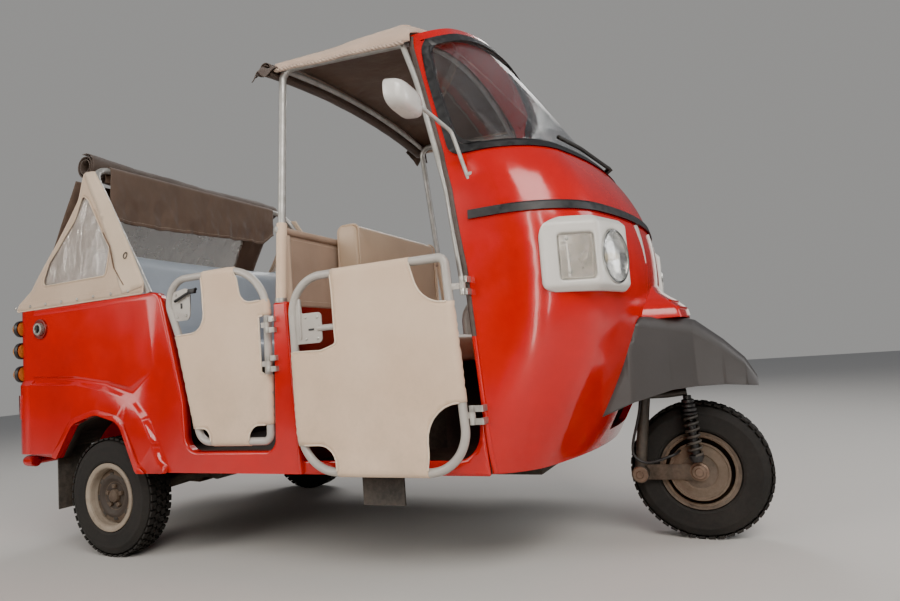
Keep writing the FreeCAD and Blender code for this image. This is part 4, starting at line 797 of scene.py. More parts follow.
def makeRing():
    # repeats the piece's own mesh round an axle, its Z pointing away from it
    tree, given, out = newNodes("ringOfParts", (
        ("Count", "Int", 12), ("Radius", "Float", 0.1), ("Offset", "Float", 0.0), ("Phase", "Float", 0.0),
        ("Centre", "Vector", None), ("Material", "Material", None),
    ))
    new, link = tree.nodes.new, tree.links.new
    step = mathNode(tree, "DIVIDE", 2 * math.pi, given["Count"])
    turn = mathNode(tree, "ADD", mathNode(tree, "MULTIPLY", new("GeometryNodeInputIndex").outputs[0], step),
                    given["Phase"])
    spot = new("ShaderNodeCombineXYZ")
    link(mathNode(tree, "MULTIPLY", mathNode(tree, "COSINE", turn), given["Radius"]), spot.inputs["X"])
    link(given["Offset"], spot.inputs["Y"])
    link(mathNode(tree, "MULTIPLY", mathNode(tree, "SINE", turn), given["Radius"]), spot.inputs["Z"])
    moved = new("ShaderNodeVectorMath")
    link(spot.outputs[0], moved.inputs[0])
    link(given["Centre"], moved.inputs[1])
    dots = new("GeometryNodePoints")
    link(given["Count"], dots.inputs["Count"])
    link(moved.outputs[0], dots.inputs["Position"])
    facing = new("ShaderNodeCombineXYZ")
    link(mathNode(tree, "SUBTRACT", math.pi / 2, turn), facing.inputs["Y"])
    placed = new("GeometryNodeInstanceOnPoints")
    link(dots.outputs[0], placed.inputs["Points"])
    link(given["Geometry"], placed.inputs["Instance"])
    link(facing.outputs[0], placed.inputs["Rotation"])
    endNodes(tree, placed.outputs[0], given["Material"], out["Geometry"], False)


def makeRope():
    # a twisted three-strand edge along a line
    tree, given, out = newNodes("ropeAlong", (
        ("Spacing", "Float", 0.004), ("Radius", "Float", 0.006), ("Lobe", "Float", 0.22), ("Turns", "Float", 22.0),
        ("Material", "Material", None),
    ))
    new, link = tree.nodes.new, tree.links.new
    curve = new("GeometryNodeMeshToCurve")
    link(given["Geometry"], curve.inputs[0])
    spaced = new("GeometryNodeResampleCurve")
    spaced.mode = "LENGTH"
    link(curve.outputs[0], spaced.inputs["Curve"])
    link(given["Spacing"], spaced.inputs["Length"])
    twisted = new("GeometryNodeSetCurveTilt")
    link(spaced.outputs[0], twisted.inputs["Curve"])
    turns = mathNode(tree, "MULTIPLY", given["Turns"], 2 * math.pi)
    link(mathNode(tree, "MULTIPLY", new("GeometryNodeSplineParameter").outputs["Length"], turns),
         twisted.inputs["Tilt"])
    ring = new("GeometryNodeCurvePrimitiveCircle")
    ring.inputs["Resolution"].default_value = 18
    link(given["Radius"], ring.inputs["Radius"])
    round3 = mathNode(tree, "MULTIPLY", new("GeometryNodeInputIndex").outputs[0], 3 * 2 * math.pi / 18)
    swell = mathNode(tree, "ADD", mathNode(tree, "MULTIPLY", mathNode(tree, "SINE", round3), given["Lobe"]), 1.0)
    scaled = new("ShaderNodeVectorMath")
    scaled.operation = "SCALE"
    link(new("GeometryNodeInputPosition").outputs[0], scaled.inputs[0])
    link(swell, scaled.inputs["Scale"])
    lobed = new("GeometryNodeSetPosition")
    link(ring.outputs[0], lobed.inputs["Geometry"])
    link(scaled.outputs[0], lobed.inputs["Position"])
    body = new("GeometryNodeCurveToMesh")
    link(twisted.outputs[0], body.inputs["Curve"])
    link(lobed.outputs[0], body.inputs["Profile Curve"])
    body.inputs["Fill Caps"].default_value = True
    endNodes(tree, body.outputs[0], given["Material"], out["Geometry"], True)


def grown(piece, treeName, **values):
    change = piece.modifiers.new(treeName, "NODES")
    change.node_group = bpy.data.node_groups[treeName]
    for item in change.node_group.interface.items_tree:
        if item.in_out == "INPUT" and item.name in values:
            change[item.identifier] = values[item.name]
    return baked(piece)


def lineMesh(name, lines):
    # lines are lists of (place, outward direction); left as edges with the direction on each point
    points, edges, facing = [], [], []
    for line in lines:
        first = len(points)
        for place, direction in line:
            points.append(tuple(place))
            facing += list(direction)
        edges += [(i, i + 1) for i in range(first, len(points) - 1)]
    mesh = bpy.data.meshes.new(name)
    mesh.from_pydata(points, edges, [])
    mesh.attributes.new("outwards", "FLOAT_VECTOR", "POINT").data.foreach_set("vector", facing)
    return linked(name, mesh)


def boxPart(name, size, bevel=0.0, skew=0.0, centre=(0, 0, 0), material=None):
    work = bmesh.new()
    bmesh.ops.create_cube(work, size=1.0)
    bmesh.ops.scale(work, vec=size, verts=work.verts)
    if bevel:
        bmesh.ops.bevel(work, geom=work.edges[:], offset=bevel, segments=2, profile=0.6, affect="EDGES")
    bmesh.ops.rotate(work, cent=(0, 0, 0), matrix=Matrix.Rotation(skew, 3, "Z"), verts=work.verts)
    bmesh.ops.translate(work, vec=centre, verts=work.verts)
    mesh = bpy.data.meshes.new(name)
    work.to_mesh(mesh)
    work.free()
    return wrapMesh(name, mesh, material, 40)


def bandAlong(name, rows, material, smooth=40):
    # a shallow rounded strip; rows are (middle, half width across, outward height)
    points = []
    section = ((-1, -1), (-1, 0.35), (-0.8, 0.8), (-0.4, 1.0), (0.4, 1.0), (0.8, 0.8), (1, 0.35), (1, -1))
    count = len(section)
    for middle, across, high in rows:
        points += [Vector(middle) + Vector(across) * a + Vector(high) * b for a, b in section]
    faces = gridFaces(len(rows), count, True)
    faces += [tuple(range(count - 1, -1, -1)), tuple(range(len(points) - count, len(points)))]
    piece = outward(meshPiece(name, points, faces, material, smooth))
    piece.data.set_sharp_from_angle(angle=math.radians(smooth))
    return piece


def clothGrid(name, columns, rows, place, material, size, thickness=0.0):
    # a sheet laid out as a grid; place(u, v) takes shares from 0 to 1; size is the cloth map in metres
    points, spots = [], []
    for j in range(rows + 1):
        for i in range(columns + 1):
            u, v = i / columns, j / rows
            points.append(place(u, v))
            spots.append((u * size[0], v * size[1]))
    piece = meshPiece(name, points, gridFaces(rows + 1, columns + 1), material, 60)
    layer = piece.data.uv_layers.new(name="clothMap")
    for loop in piece.data.loops:
        layer.data[loop.index].uv = spots[loop.vertex_index]
    if thickness:
        solid = piece.modifiers.new("wall", "SOLIDIFY")
        solid.thickness = thickness
        solid.offset = 0
        baked(piece)
    return outward(piece, 0.00001)


def show(piece, body, node=None):
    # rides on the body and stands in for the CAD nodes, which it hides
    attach(piece, body)
    names = (node,) if isinstance(node, str) else tuple(node or ())
    if names:
        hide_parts(*names)
    return piece


# Turned pieces as rows of radius and offset along their axis.
profiles = {
    "hubCap": ((0.0, 0.036), (0.014, 0.036), (0.021, 0.032), (0.024, 0.024), (0.024, 0.0205), (0.0, 0.0205)),
    "hubDisc": ((0.0475, 0.0222), (0.066, 0.0305), (0.07, 0.03), (0.086, 0.0235), (0.092, 0.0225), (0.096, 0.0155),
                (0.096, 0.012), (0.066, 0.0285), (0.0475, 0.0212), (0.0475, 0.0222)),
    "hubEdge": ((0.1172, 0.0435), (0.1192, 0.0475), (0.118, 0.0505), (0.112, 0.051), (0.104, 0.049),
                (0.0985, 0.044), (0.0985, 0.03), (0.1, 0.03), (0.1008, 0.0435), (0.1172, 0.0435)),
    "frontBright": ((0.1, -0.048), (0.1035, -0.05), (0.107, -0.05), (0.1085, -0.0475), (0.106, -0.0455),
                    (0.1, -0.048)),
    "brakePlate": ((0.05, -0.0602), (0.054, -0.063), (0.066, -0.063), (0.07, -0.0608), (0.08, -0.0608),
                   (0.083, -0.0632), (0.0878, -0.0625), (0.0878, -0.06), (0.05, -0.0602)),
    "axleBoss": ((0.0, -0.08), (0.011, -0.08), (0.013, -0.077), (0.02, -0.0765), (0.022, -0.074),
                 (0.022, -0.07), (0.028, -0.068), (0.0285, -0.06), (0.0, -0.06)),
    "linkBoss": ((0.0, -0.112), (0.01, -0.112), (0.012, -0.109), (0.021, -0.1085), (0.0245, -0.105), (0.0, -0.105)),
    "rivet": ((0.0, 0.0022), (0.0028, 0.002), (0.0046, 0.0004), (0.0046, -0.001), (0.0, -0.001)),
    "bulb": ((0.0, -0.004), (0.007, -0.003), (0.01, 0.004), (0.01, 0.017), (0.0, 0.017)),
    "lensScrew": ((0.0, -0.0092), (0.003, -0.009), (0.0046, -0.0078), (0.0046, -0.006), (0.0, -0.006)),
    # a black disc: painted shade standing in for the small hole in a lamp pod
    "podHoleShade": ((0.0, -0.0012), (0.003, -0.0012), (0.0032, 0.001), (0.0, 0.001)),
    "mirrorGlass": ((0.0, -0.0138), (1.0, -0.0138), (1.0, -0.0126), (0.0, -0.0126)),
    "footScrew": ((0.0, 0.0064), (0.003, 0.0062), (0.005, 0.0045), (0.005, 0.002), (0.0, 0.002)),
    "lampCollar": ((0.027, -0.008), (0.0312, -0.008), (0.0322, -0.004), (0.0322, 0.006), (0.027, 0.006),
                   (0.027, -0.008)),
    "tailLens": ((0.0, -0.0275), (0.01, -0.0262), (0.019, -0.022), (0.025, -0.015), (0.0268, -0.007),
                 (0.0268, 0.004), (0.0, 0.004)),
    "fillerDish": ((0.0, -0.002), (0.027, -0.002), (0.03, -0.0035), (0.034, -0.0072), (0.0372, -0.0066),
                   (0.0378, 0.0), (0.0, 0.0)),
    "fillerNeck": ((0.015, -0.015), (0.0172, -0.0168), (0.0208, -0.0168), (0.0228, -0.0148), (0.0228, -0.001),
                   (0.015, -0.001), (0.015, -0.015)),
    "fillerCover": ((0.0, -0.0122), (0.011, -0.0118), (0.015, -0.01), (0.015, -0.001), (0.0, -0.001)),
    "dial": ((0.0, 0.0), (0.04, 0.0), (0.045, -0.004), (0.048, 0.0), (0.048, 0.012), (0.0, 0.012)),
    "postClamp": ((0.0125, -0.007), (0.0185, -0.007), (0.019, 0.0), (0.0185, 0.007), (0.0125, 0.007),
                  (0.0125, -0.007)),
}


def turned(key, centre, paint, steps, side=1, axis="Y"):
    return lathe(key, [(radius, offset * side) for radius, offset in profiles[key]], centre, finish[paint], steps,
                 axis)


wheels = {
    "treadTop": 0.207,
    "treadBase": 0.1995,
    "blocks": 46,
    # size, bevel, count, radius, offset, first angle, finish
    "nuts": ((0.014, 0.01, 0.014), 0.0022, 5, 0.035, 0.0255, 0.3, "dustyIron"),
    # black slots on the disc: painted shade standing in for the vent holes
    "vents": ((0.02, 0.004, 0.01), 0.0018, 8, 0.078, 0.0272, 0.1, "underbody"),
    "linkPivot": (0.17, 0.205),  # station and height of the link's pivot on the fork
    "rows": (
        # offset, width, length, skew, phase
        (-0.0315, 0.019, 0.02, 0.0, 0.0),
        (-0.0105, 0.017, 0.0215, 0.35, 0.5),
        (0.0105, 0.017, 0.0215, 0.35, 0.0),
        (0.0315, 0.019, 0.02, 0.0, 0.5),
    ),
    "profile": (
        # radius, offset
        (0.1042, -0.0405), (0.1185, -0.0438), (0.1225, -0.0482), (0.1265, -0.0492), (0.129, -0.0505),
                (0.133, -0.0503),
        (0.145, -0.0516), (0.16, -0.052), (0.17, -0.0512), (0.172, -0.0518), (0.176, -0.0511), (0.178, -0.0498),
        (0.188, -0.0462), (0.1945, -0.042), (0.1985, -0.034), (0.2, -0.02), (0.2005, 0.0),
    ),
    "table": (
        # tyre, body, station, distance from the middle, outward side
        ("front_tyre", "front_wheel", 0.0, 0.0, -1),
        ("rear_tyre_right", "rear_wheel_right", 1.92, -0.55, -1),
        ("rear_tyre_left", "rear_wheel_left", 1.92, 0.55, 1),
    ),
}


def makeWheels():
    half = list(wheels["profile"])
    profile = half + [(radius, -offset) for radius, offset in reversed(half[:-1])] + [half[0]]
    for name, body, station, y, out in wheels["table"]:
        centre = (at(station), y, vehicle["axleHeight"])
        pieces = [lathe(name + "Wall", profile, centre, finish["tyre"], 96, sharp=30)]
        middle = (wheels["treadTop"] + wheels["treadBase"]) / 2
        for offset, width, length, skew, phase in wheels["rows"]:
            size = (length, width, wheels["treadTop"] - wheels["treadBase"])
            block = boxPart(name + "Block", size, 0.0012, skew)
            pieces.append(grown(block, "ringOfParts", Count=wheels["blocks"], Radius=middle, Offset=offset,
                                Phase=phase * 2 * math.pi / wheels["blocks"], Centre=centre, Material=finish["tyre"]))
        show(joined(name + "_rubber", pieces), body, name)
        if station:
            makeHub(name, body, centre, out)
    makeFrontHub()


def makeHub(name, body, centre, out):
    pieces = [turned("hubCap", centre, "dustyIron", 40, out), turned("hubDisc", centre, "dustyIron", 64, out)]
    for key in ("nuts", "vents"):
        size, bevel, count, radius, offset, phase, paint = wheels[key]
        pieces.append(grown(boxPart(name + key, size, bevel), "ringOfParts", Count=count, Radius=radius,
                            Offset=offset * out, Phase=phase, Centre=centre, Material=finish[paint]))
    pieces.append(turned("hubEdge", centre, "wheelPaint", 80, out))
    show(joined(name + "_hub", pieces), body)


def makeFrontHub():
    centre = (at(0.0), 0, vehicle["axleHeight"])
    show(turned("frontBright", centre, "dustyIron", 80), "front_wheel")
    station, height = wheels["linkPivot"]
    pieces = [
        turned("brakePlate", centre, "dustyIron", 64),
        turned("axleBoss", centre, "bronze", 40),
        turned("linkBoss", (at(station), 0, height), "bronze", 40),
    ]
    show(joined("front_axle_trim", pieces), "steering")


shock = {
    "foot": (0.002, -0.086, 0.2415),  # station, y, z
    "top": (0.012, -0.086, 0.44),
    "coilRadius": 0.0185,
    "wire": 0.0042,
    "turns": 6.5,
    "coilSteps": 150,
    "coilFrom": 0.1,  # the spring's start and reach, as shares of the length
    "coilReach": 0.61,
    "parts": (
        # share along, radius: the damper body, rod and the bellows above
        (0.0, 0.0), (0.0, 0.015), (0.07, 0.022), (0.1, 0.022), (0.11, 0.012), (0.6, 0.012), (0.61, 0.007),
              (0.7, 0.007),
        (0.71, 0.021), (0.735, 0.0225), (0.75, 0.016), (0.765, 0.0215), (0.8, 0.0215), (0.815, 0.015), (0.83, 0.02),
        (0.865, 0.02), (0.88, 0.0145), (0.9, 0.019), (0.94, 0.018), (0.95, 0.012), (1.0, 0.012), (1.0, 0.0),
    ),
}


def makeShock():
    foot = Vector((at(shock["foot"][0]), shock["foot"][1], shock["foot"][2]))
    top = Vector((at(shock["top"][0]), shock["top"][1], shock["top"][2]))
    along = top - foot
    length = along.length
    turn = Matrix.Translation(foot) @ along.to_track_quat("Z", "Y").to_matrix().to_4x4()
    core = lathe("shockCore", [(r, t * length) for t, r in shock["parts"]], (0, 0, 0), finish["gasket"], 32, axis="Z")
    route = []
    steps = shock["coilSteps"]
    for k in range(steps + 1):
        angle = 2 * math.pi * shock["turns"] * k / steps
        height = length * (shock["coilFrom"] + shock["coilReach"] * k / steps)
        route.append((shock["coilRadius"] * math.cos(angle), shock["coilRadius"] * math.sin(angle), height))
    coil = tubeAlong("shockCoil", route, shock["wire"], finish["blackPaint"], sides=3)
    whole = joined("front_shock_parts", [core, coil])
    whole.data.transform(turn)
    show(whole, "steering", "front_shock")


hose = {
    # station, distance from the middle, height of the brake hose, from the fork's clip to the brake plate
    "route": ((0.146, 0.108, 0.44), (0.15, 0.108, 0.41), (0.164, 0.108, 0.36), (0.183, 0.112, 0.3),
              (0.184, 0.114, 0.262),
              (0.15, 0.115, 0.24), (0.11, 0.111, 0.249), (0.072, 0.105, 0.262), (0.058, 0.095, 0.267),
              (0.052, 0.0618, 0.27)),
    "radius": 0.0042,
}


def makeHose():
    route = [Vector((at(s), -y, z)) for s, y, z in hose["route"]]
    piece = tubeAlong("brake_hose_rubber", route, hose["radius"], finish["gasket"])
    show(piece, "steering", "brake_hose")


# The doors' canvas, wrapped round the bent tubes. Lines are (station, height, rounding).
canvas = {
    "tubeRadius": 0.012,
    "cloth": 0.0022,
    "wrap": 0.034,  # how far the cloth goes round a tube
    "step": 0.013,
    "hem": 0.0026,
    "driver": {
        "y": 0.638,
        "node": "driver_door",
        "flat": (0.6, 0.64),
        "tube": ((1.029, 0.311, 0.118), (1.044, 0.876, 0.108), (0.533, 0.876, 0.022), (0.502, 0.311, 0.112)),
        "outline": ((0.892, 0.884, 0), (0.639, 0.884, 0), (0.629, 0.846, 0.06), (0.61, 0.757, 0.086),
                    (0.516, 0.757, 0),
                    (0.502, 0.492, 0), (0.617, 0.492, 0.1), (0.614, 0.356, 0.09), (0.621, 0.304, 0),
                    (0.905, 0.302, 0),
                    (0.906, 0.388, 0.058), (1.036, 0.388, 0), (1.046, 0.658, 0), (0.938, 0.656, 0.06),
                    (0.888, 0.672, 0.012)),
    },
    "passenger": {
        "y": 0.608,
        "node": "passenger_door",
        "flat": (0.46, 0.62),
        "tube": ((1.458, 0.396, 0.05), (1.533, 0.73, 0.3), (1.612, 0.936, 0.078), (1.158, 0.936, 0.15),
                 (1.172, 0.396, 0.024)),
        "outline": ((1.286, 0.94, 0), (1.268, 0.905, 0.03), (1.258, 0.826, 0.044), (1.154, 0.828, 0),
                    (1.156, 0.782, 0),
                    (1.186, 0.778, 0.006), (1.185, 0.606, 0.006), (1.161, 0.596, 0), (1.164, 0.448, 0),
                    (1.24, 0.446, 0.04),
                    (1.25, 0.388, 0), (1.402, 0.388, 0), (1.408, 0.441, 0.034), (1.478, 0.442, 0), (1.548, 0.745, 0),
                    (1.414, 0.752, 0.06), (1.419, 0.94, 0)),
    },
}


def nearestOn(line, point):
    # the nearest spot on a closed line, and its distance, above zero outside the line
    best, spot = 1e9, None
    for a, b in zip(line, line[1:] + line[:1]):
        run = b - a
        share = max(0.0, min(1.0, (point - a).dot(run) / max(run.length_squared, 1e-12)))
        foot = a + run * share
        if (point - foot).length < best:
            best, spot = (point - foot).length, foot
    return spot, -best if inLine(line, point) else best


def makeDoorCanvas(key, side, body, seed):
    door = canvas[key]
    tube = roundedLine(door["tube"], True, 9)
    outline = []
    for point in spacedLine(roundedLine(door["outline"], True), canvas["step"]):
        foot, distance = nearestOn(tube, point)
        if distance > 0.001:
            point = foot + (point - foot).normalized() * canvas["wrap"]
        outline.append(point)
    outer = canvas["tubeRadius"] + canvas["cloth"] / 2

    def place(u, v, lift=0.0):
        point = Vector((u, v))
        foot, distance = nearestOn(tube, point)
        radius = outer + lift
        if distance <= 0:
            inside = min(1.0, -distance / 0.06)
            wave = ruffle(u + v * 0.4, v, 0.11, seed) * 0.0022
            wave += ruffle(u - v, v, 0.03, seed + 3) * 0.0007 * (1.2 - inside)
            return (at(u), side * (door["y"] + radius + wave * inside - 0.004 * inside), v)
        angle = distance / outer
        away = (point - foot).normalized()
        where = foot + away * radius * math.sin(angle)
        return (at(where[0]), side * (door["y"] + radius * math.cos(angle)), where[1])

    sheet = flatPanel(door["node"] + "_cloth_" + body[-5:].strip("_"), outline, [], canvas["step"], place,
                      finish["canvas"], canvas["cloth"], seed)
    show(sheet, body, door["node"] + "_canvas_" + ("right" if side < 0 else "left"))
    runs, current = [], []
    flags = [nearestOn(tube, point)[1] < -0.001 for point in outline]
    first = flags.index(False)
    for k in range(first, first + len(outline) + 1):
        point = outline[k % len(outline)]
        if flags[k % len(outline)]:
            current.append(point)
        elif current:
            runs.append(current)
            current = []
    hems, stitches = [], []
    for index, run in enumerate(runs):
        if len(run) < 3:
            continue
        route = [place(p[0], p[1], 0.0012) for p in run]
        hems.append(tubeAlong("hem%d" % index, route, canvas["hem"], finish["hem"], sides=3))
        inner = []
        for k in range(len(run)):
            along = (run[min(k + 1, len(run) - 1)] - run[max(k - 1, 0)]).normalized()
            across = Vector((-along[1], along[0]))
            if not inLine(outline, run[k] + across * 0.012):
                across = -across
            spot = place(run[k][0] + across[0] * 0.012, run[k][1] + across[1] * 0.012, 0.0014)
            inner.append((spot, (0, side, 0)))
        stitches.append(inner)
    thread = grown(lineMesh("stitchLine", stitches), "beadsAlong", Spacing=0.0065, Length=0.0045, Width=0.0011,
                   Height=0.0009, Material=finish["thread"])
    trim = show(joined(sheet.name + "_hem", hems + [thread]), body)
    area = sum(face.area for face in sheet.data.polygons) / 2
    width, length = door["flat"]
    return area


latches = {
    # rivets as (station, z); slot and upright as (station, z, width, height), the slot a black plate, painted shade
    # in the opening; lever and grip as (station, z)
    "driver": {
        "y": 0.638,
        "rivets": ((0.952, 0.755), (0.952, 0.694), (0.994, 0.694), (0.994, 0.757)),
        "slot": (0.974, 0.72, 0.02, 0.006),
        "upright": (1.0125, 0.752, 0.007, 0.118),
        "lever": None,
    },
    "passenger": {
        "y": 0.608,
        "rivets": ((1.5, 0.812), (1.54, 0.808), (1.496, 0.888), (1.545, 0.884)),
        "slot": (1.52, 0.845, 0.008, 0.018),
        "upright": None,
        "lever": ((1.444, 0.894), (1.47, 0.888), (1.51, 0.874), (1.542, 0.862)),
        "grip": (1.462, 0.888),
    },
}


def makeLatch(key, side, body):
    latch = latches[key]
    face = side * (latch["y"] + 0.003)
    pieces = [turned("rivet", (at(station), face, z), "zinc", 16, side) for station, z in latch["rivets"]]
    # the slot is a thin black plate: painted shade in the opening
    station, z, width, height = latch["slot"]
    pieces.append(boxPart("slot", (width, 0.0012, height), 0.0004, centre=(at(station), face, z),
                          material=finish["gasket"]))
    if latch["upright"]:
        station, z, width, height = latch["upright"]
        pieces.append(boxPart("strip", (width, 0.006, height), 0.001, centre=(at(station), face, z),
                              material=finish["silverPaint"]))
    if latch["lever"]:
        route = [(at(s), face + side * 0.007, z) for s, z in latch["lever"]]
        pieces.append(tubeAlong("lever", route, 0.0048, finish["gasket"], sides=3))
        station, z = latch["grip"]
        pieces.append(boxPart("grip", (0.03, 0.012, 0.016), 0.003, centre=(at(station), face + side * 0.008, z),
                              material=finish["gasket"]))
    show(joined(key + "_latch_" + ("right" if side < 0 else "left"), pieces), body)


def makeDoors():
    seed = 3
    for key in ("driver", "passenger"):
        for side, name in ((-1, "right"), (1, "left")):
            body = "door_" + key + "_" + name
            area = makeDoorCanvas(key, side, body, seed)
            makeLatch(key, side, body)
            seed += 5
        print(key, "canvas area", round(area, 3))


pods = {
    "corners": ((0.276, 0.614), (0.142, 0.538), (0.092, 0.376)),  # station, y: rear, outer, inner
    "height": 0.842,
    "lampRadius": 0.07,
    "indicatorStart": 0.012,
    "indicatorHalf": (0.044, 0.056),
    "indicator": (
        # wider by, thickness, bevel, depth, finish: the lens, its back and a black plate behind them, painted shade
        # in the recess round the lens
        (0, 0.014, 0.0035, 0, "indicator"),
        (-0.004, 0.002, 0.0008, 0.0084, "chrome"),
        (0.006, 0.004, 0.001, 0.0112, "gasket"),
    ),
    "screws": ((-0.024, 0.044), (-0.022, -0.042)),
    "hole": (0.134, 0.008, 0.004),  # back along the pod, up, inward
    "corner": (0.284, 0.951, 0.072),  # station and height of the rear upper corner, its rounding
    "voxel": 0.0035,
    "softening": 14,
}


def moulded(node, name, material, voxel, softening, body="body"):
    # a CAD node with its edges rounded over, as a moulding's are
    copy = wrapMesh(name, nodes[node].data.copy())
    copy.data.materials.clear()
    outward(copy)
    remade = copy.modifiers.new("remade", "REMESH")
    remade.mode = "VOXEL"
    remade.voxel_size = voxel
    soft = copy.modifiers.new("soft", "SMOOTH")
    soft.iterations = softening
    soft.factor = 0.5
    baked(copy)
    station, top, radius = pods["corner"]
    for vertex in copy.data.vertices:
        along, high = station - (vehicle["frontAxleX"] - vertex.co.x), top - vertex.co.z
        if along < radius and high < radius:
            reach = math.hypot(radius - along, radius - high)
            if reach > radius:
                share = radius / reach
                vertex.co.x = at(station - radius + (radius - along) * share)
                vertex.co.z = top - radius + (radius - high) * share
    copy.data.materials.append(material)
    copy.data.shade_smooth()
    return show(copy, body, node)


def facing(origin, direction, up=Vector((0, 0, 1))):
    # a frame at the origin: Y points against the direction, Z up, for pieces made round the Y axis
    back = -Vector(direction).normalized()
    right = back.cross(up).normalized()
    turn = Matrix((right, back, right.cross(back))).transposed().to_4x4()
    return Matrix.Translation(origin) @ turn


def placed(pieces, spot):
    for piece in pieces:
        piece.data.transform(spot)
    return pieces


def makePods():
    moulded("lamp_pods", "lamp_pods_shell", finish["podWhite"], pods["voxel"], pods["softening"])
    up, origin = Vector((0, 0, 1)), (0, 0, 0)
    radius = pods["lampRadius"]
    bowl = [(0.0, 0.0165), (0.012, 0.0165), (0.03, 0.015), (0.048, 0.011), (0.06, 0.005), (radius, -0.003),
            (radius, 0.0), (0.06, 0.0075), (0.03, 0.0172), (0.0, 0.0185)]
    rim = [(radius - 0.004, -0.005), (radius + 0.0015, -0.005), (radius + 0.0022, -0.001), (radius - 0.001, 0.001),
           (radius - 0.004, -0.005)]
    dome = [(0.0, -0.015), (0.02, -0.0142), (0.04, -0.0112), (0.056, -0.0072), (radius - 0.003, -0.003),
            (radius - 0.003, -0.001), (0.056, -0.005), (0.04, -0.009), (0.02, -0.012), (0.0, -0.0128)]
    halfLength, halfHeight = pods["indicatorHalf"]
    pieces = []
    for side in (-1, 1):
        rear, outer, inner = [Vector((at(s), side * y, pods["height"])) for s, y in pods["corners"]]
        front = (outer - inner).cross(up).normalized() * -side
        if front.x < 0:
            front = -front
        lamp = [
            lathe("reflector", bowl, origin, finish["chrome"], 56),
            turned("bulb", origin, "bulb", 24),
            lathe("lampRing", rim, origin, finish["chrome"], 64),
            lathe("lampDome", dome, origin, finish["lampGlass"], 56),
        ]
        pieces += placed(lamp, facing((outer + inner) / 2 - front * 0.004, front))
        along = (rear - outer).normalized()
        outboard = along.cross(up).normalized()
        if outboard.y * side < 0:
            outboard = -outboard
        indicator = []
        for wider, thick, bevel, depth, paint in pods["indicator"]:
            size = (halfLength * 2 + wider, thick, halfHeight * 2 + wider)
            indicator.append(boxPart("indicatorPart", size, bevel, centre=(0, depth, 0), material=finish[paint]))
        indicator += [turned("lensScrew", (u, 0, w), "zinc", 16) for u, w in pods["screws"]]
        middle = outer + along * (pods["indicatorStart"] + 0.048)
        pieces += placed(indicator, facing(middle - outboard * 0.0075, outboard))
        # the pod's small hole as a black disc: painted shade
        back, rise, inward = pods["hole"]
        spot = outer + along * back + up * rise - outboard * inward
        pieces += placed([turned("podHoleShade", origin, "gasket", 14)], facing(spot, outboard))
    for piece in pieces:
        outward(piece)
    show(joined("lamp_units", pieces), "body", "lamp_lenses")


nose = {
    "rows": (
        # height, station of the front, half width of the front, half width at the cab, station there
        (0.678, -0.015, 0.15, 0.205, 0.15),
        (0.7, -0.01, 0.147, 0.203, 0.15),
        (0.714, 0.0, 0.141, 0.2, 0.15),
        (0.722, 0.009, 0.132, 0.197, 0.15),
        (0.736, 0.024, 0.12, 0.194, 0.15),
        (0.744, 0.036, 0.11, 0.191, 0.15),
        (0.762, 0.058, 0.093, 0.187, 0.15),
        (0.794, 0.075, 0.072, 0.18, 0.15),
        (0.852, 0.086, 0.048, 0.168, 0.15),
        (0.9, 0.088, 0.036, 0.158, 0.15),
        (0.936, 0.092, 0.026, 0.148, 0.15),
        (0.966, 0.104, 0.02, 0.14, 0.15),
    ),
    "corner": 0.016,
    # distance from the middle, height, half width: the edging down the middle and the mark beside each lamp
    "ridge": ((0, 0.958, 0.008), (0, 0.948, 0.012), (0, 0.9, 0.012), (0, 0.852, 0.011), (0, 0.794, 0.011),
              (0, 0.762, 0.01),
              (0, 0.744, 0.01), (0, 0.722, 0.01), (0, 0.7, 0.01), (0, 0.684, 0.008)),
    "mark": ((0.166, 0.968, 0.024), (0.16, 0.94, 0.02), (0.153, 0.905, 0.0135), (0.147, 0.87, 0.006),
             (0.144, 0.85, 0.002)),
    "lift": {"ridge": 0.0055, "mark": 0.0012},
    "ribs": ((0.706, 0.006), (0.729, 0.005)),
}


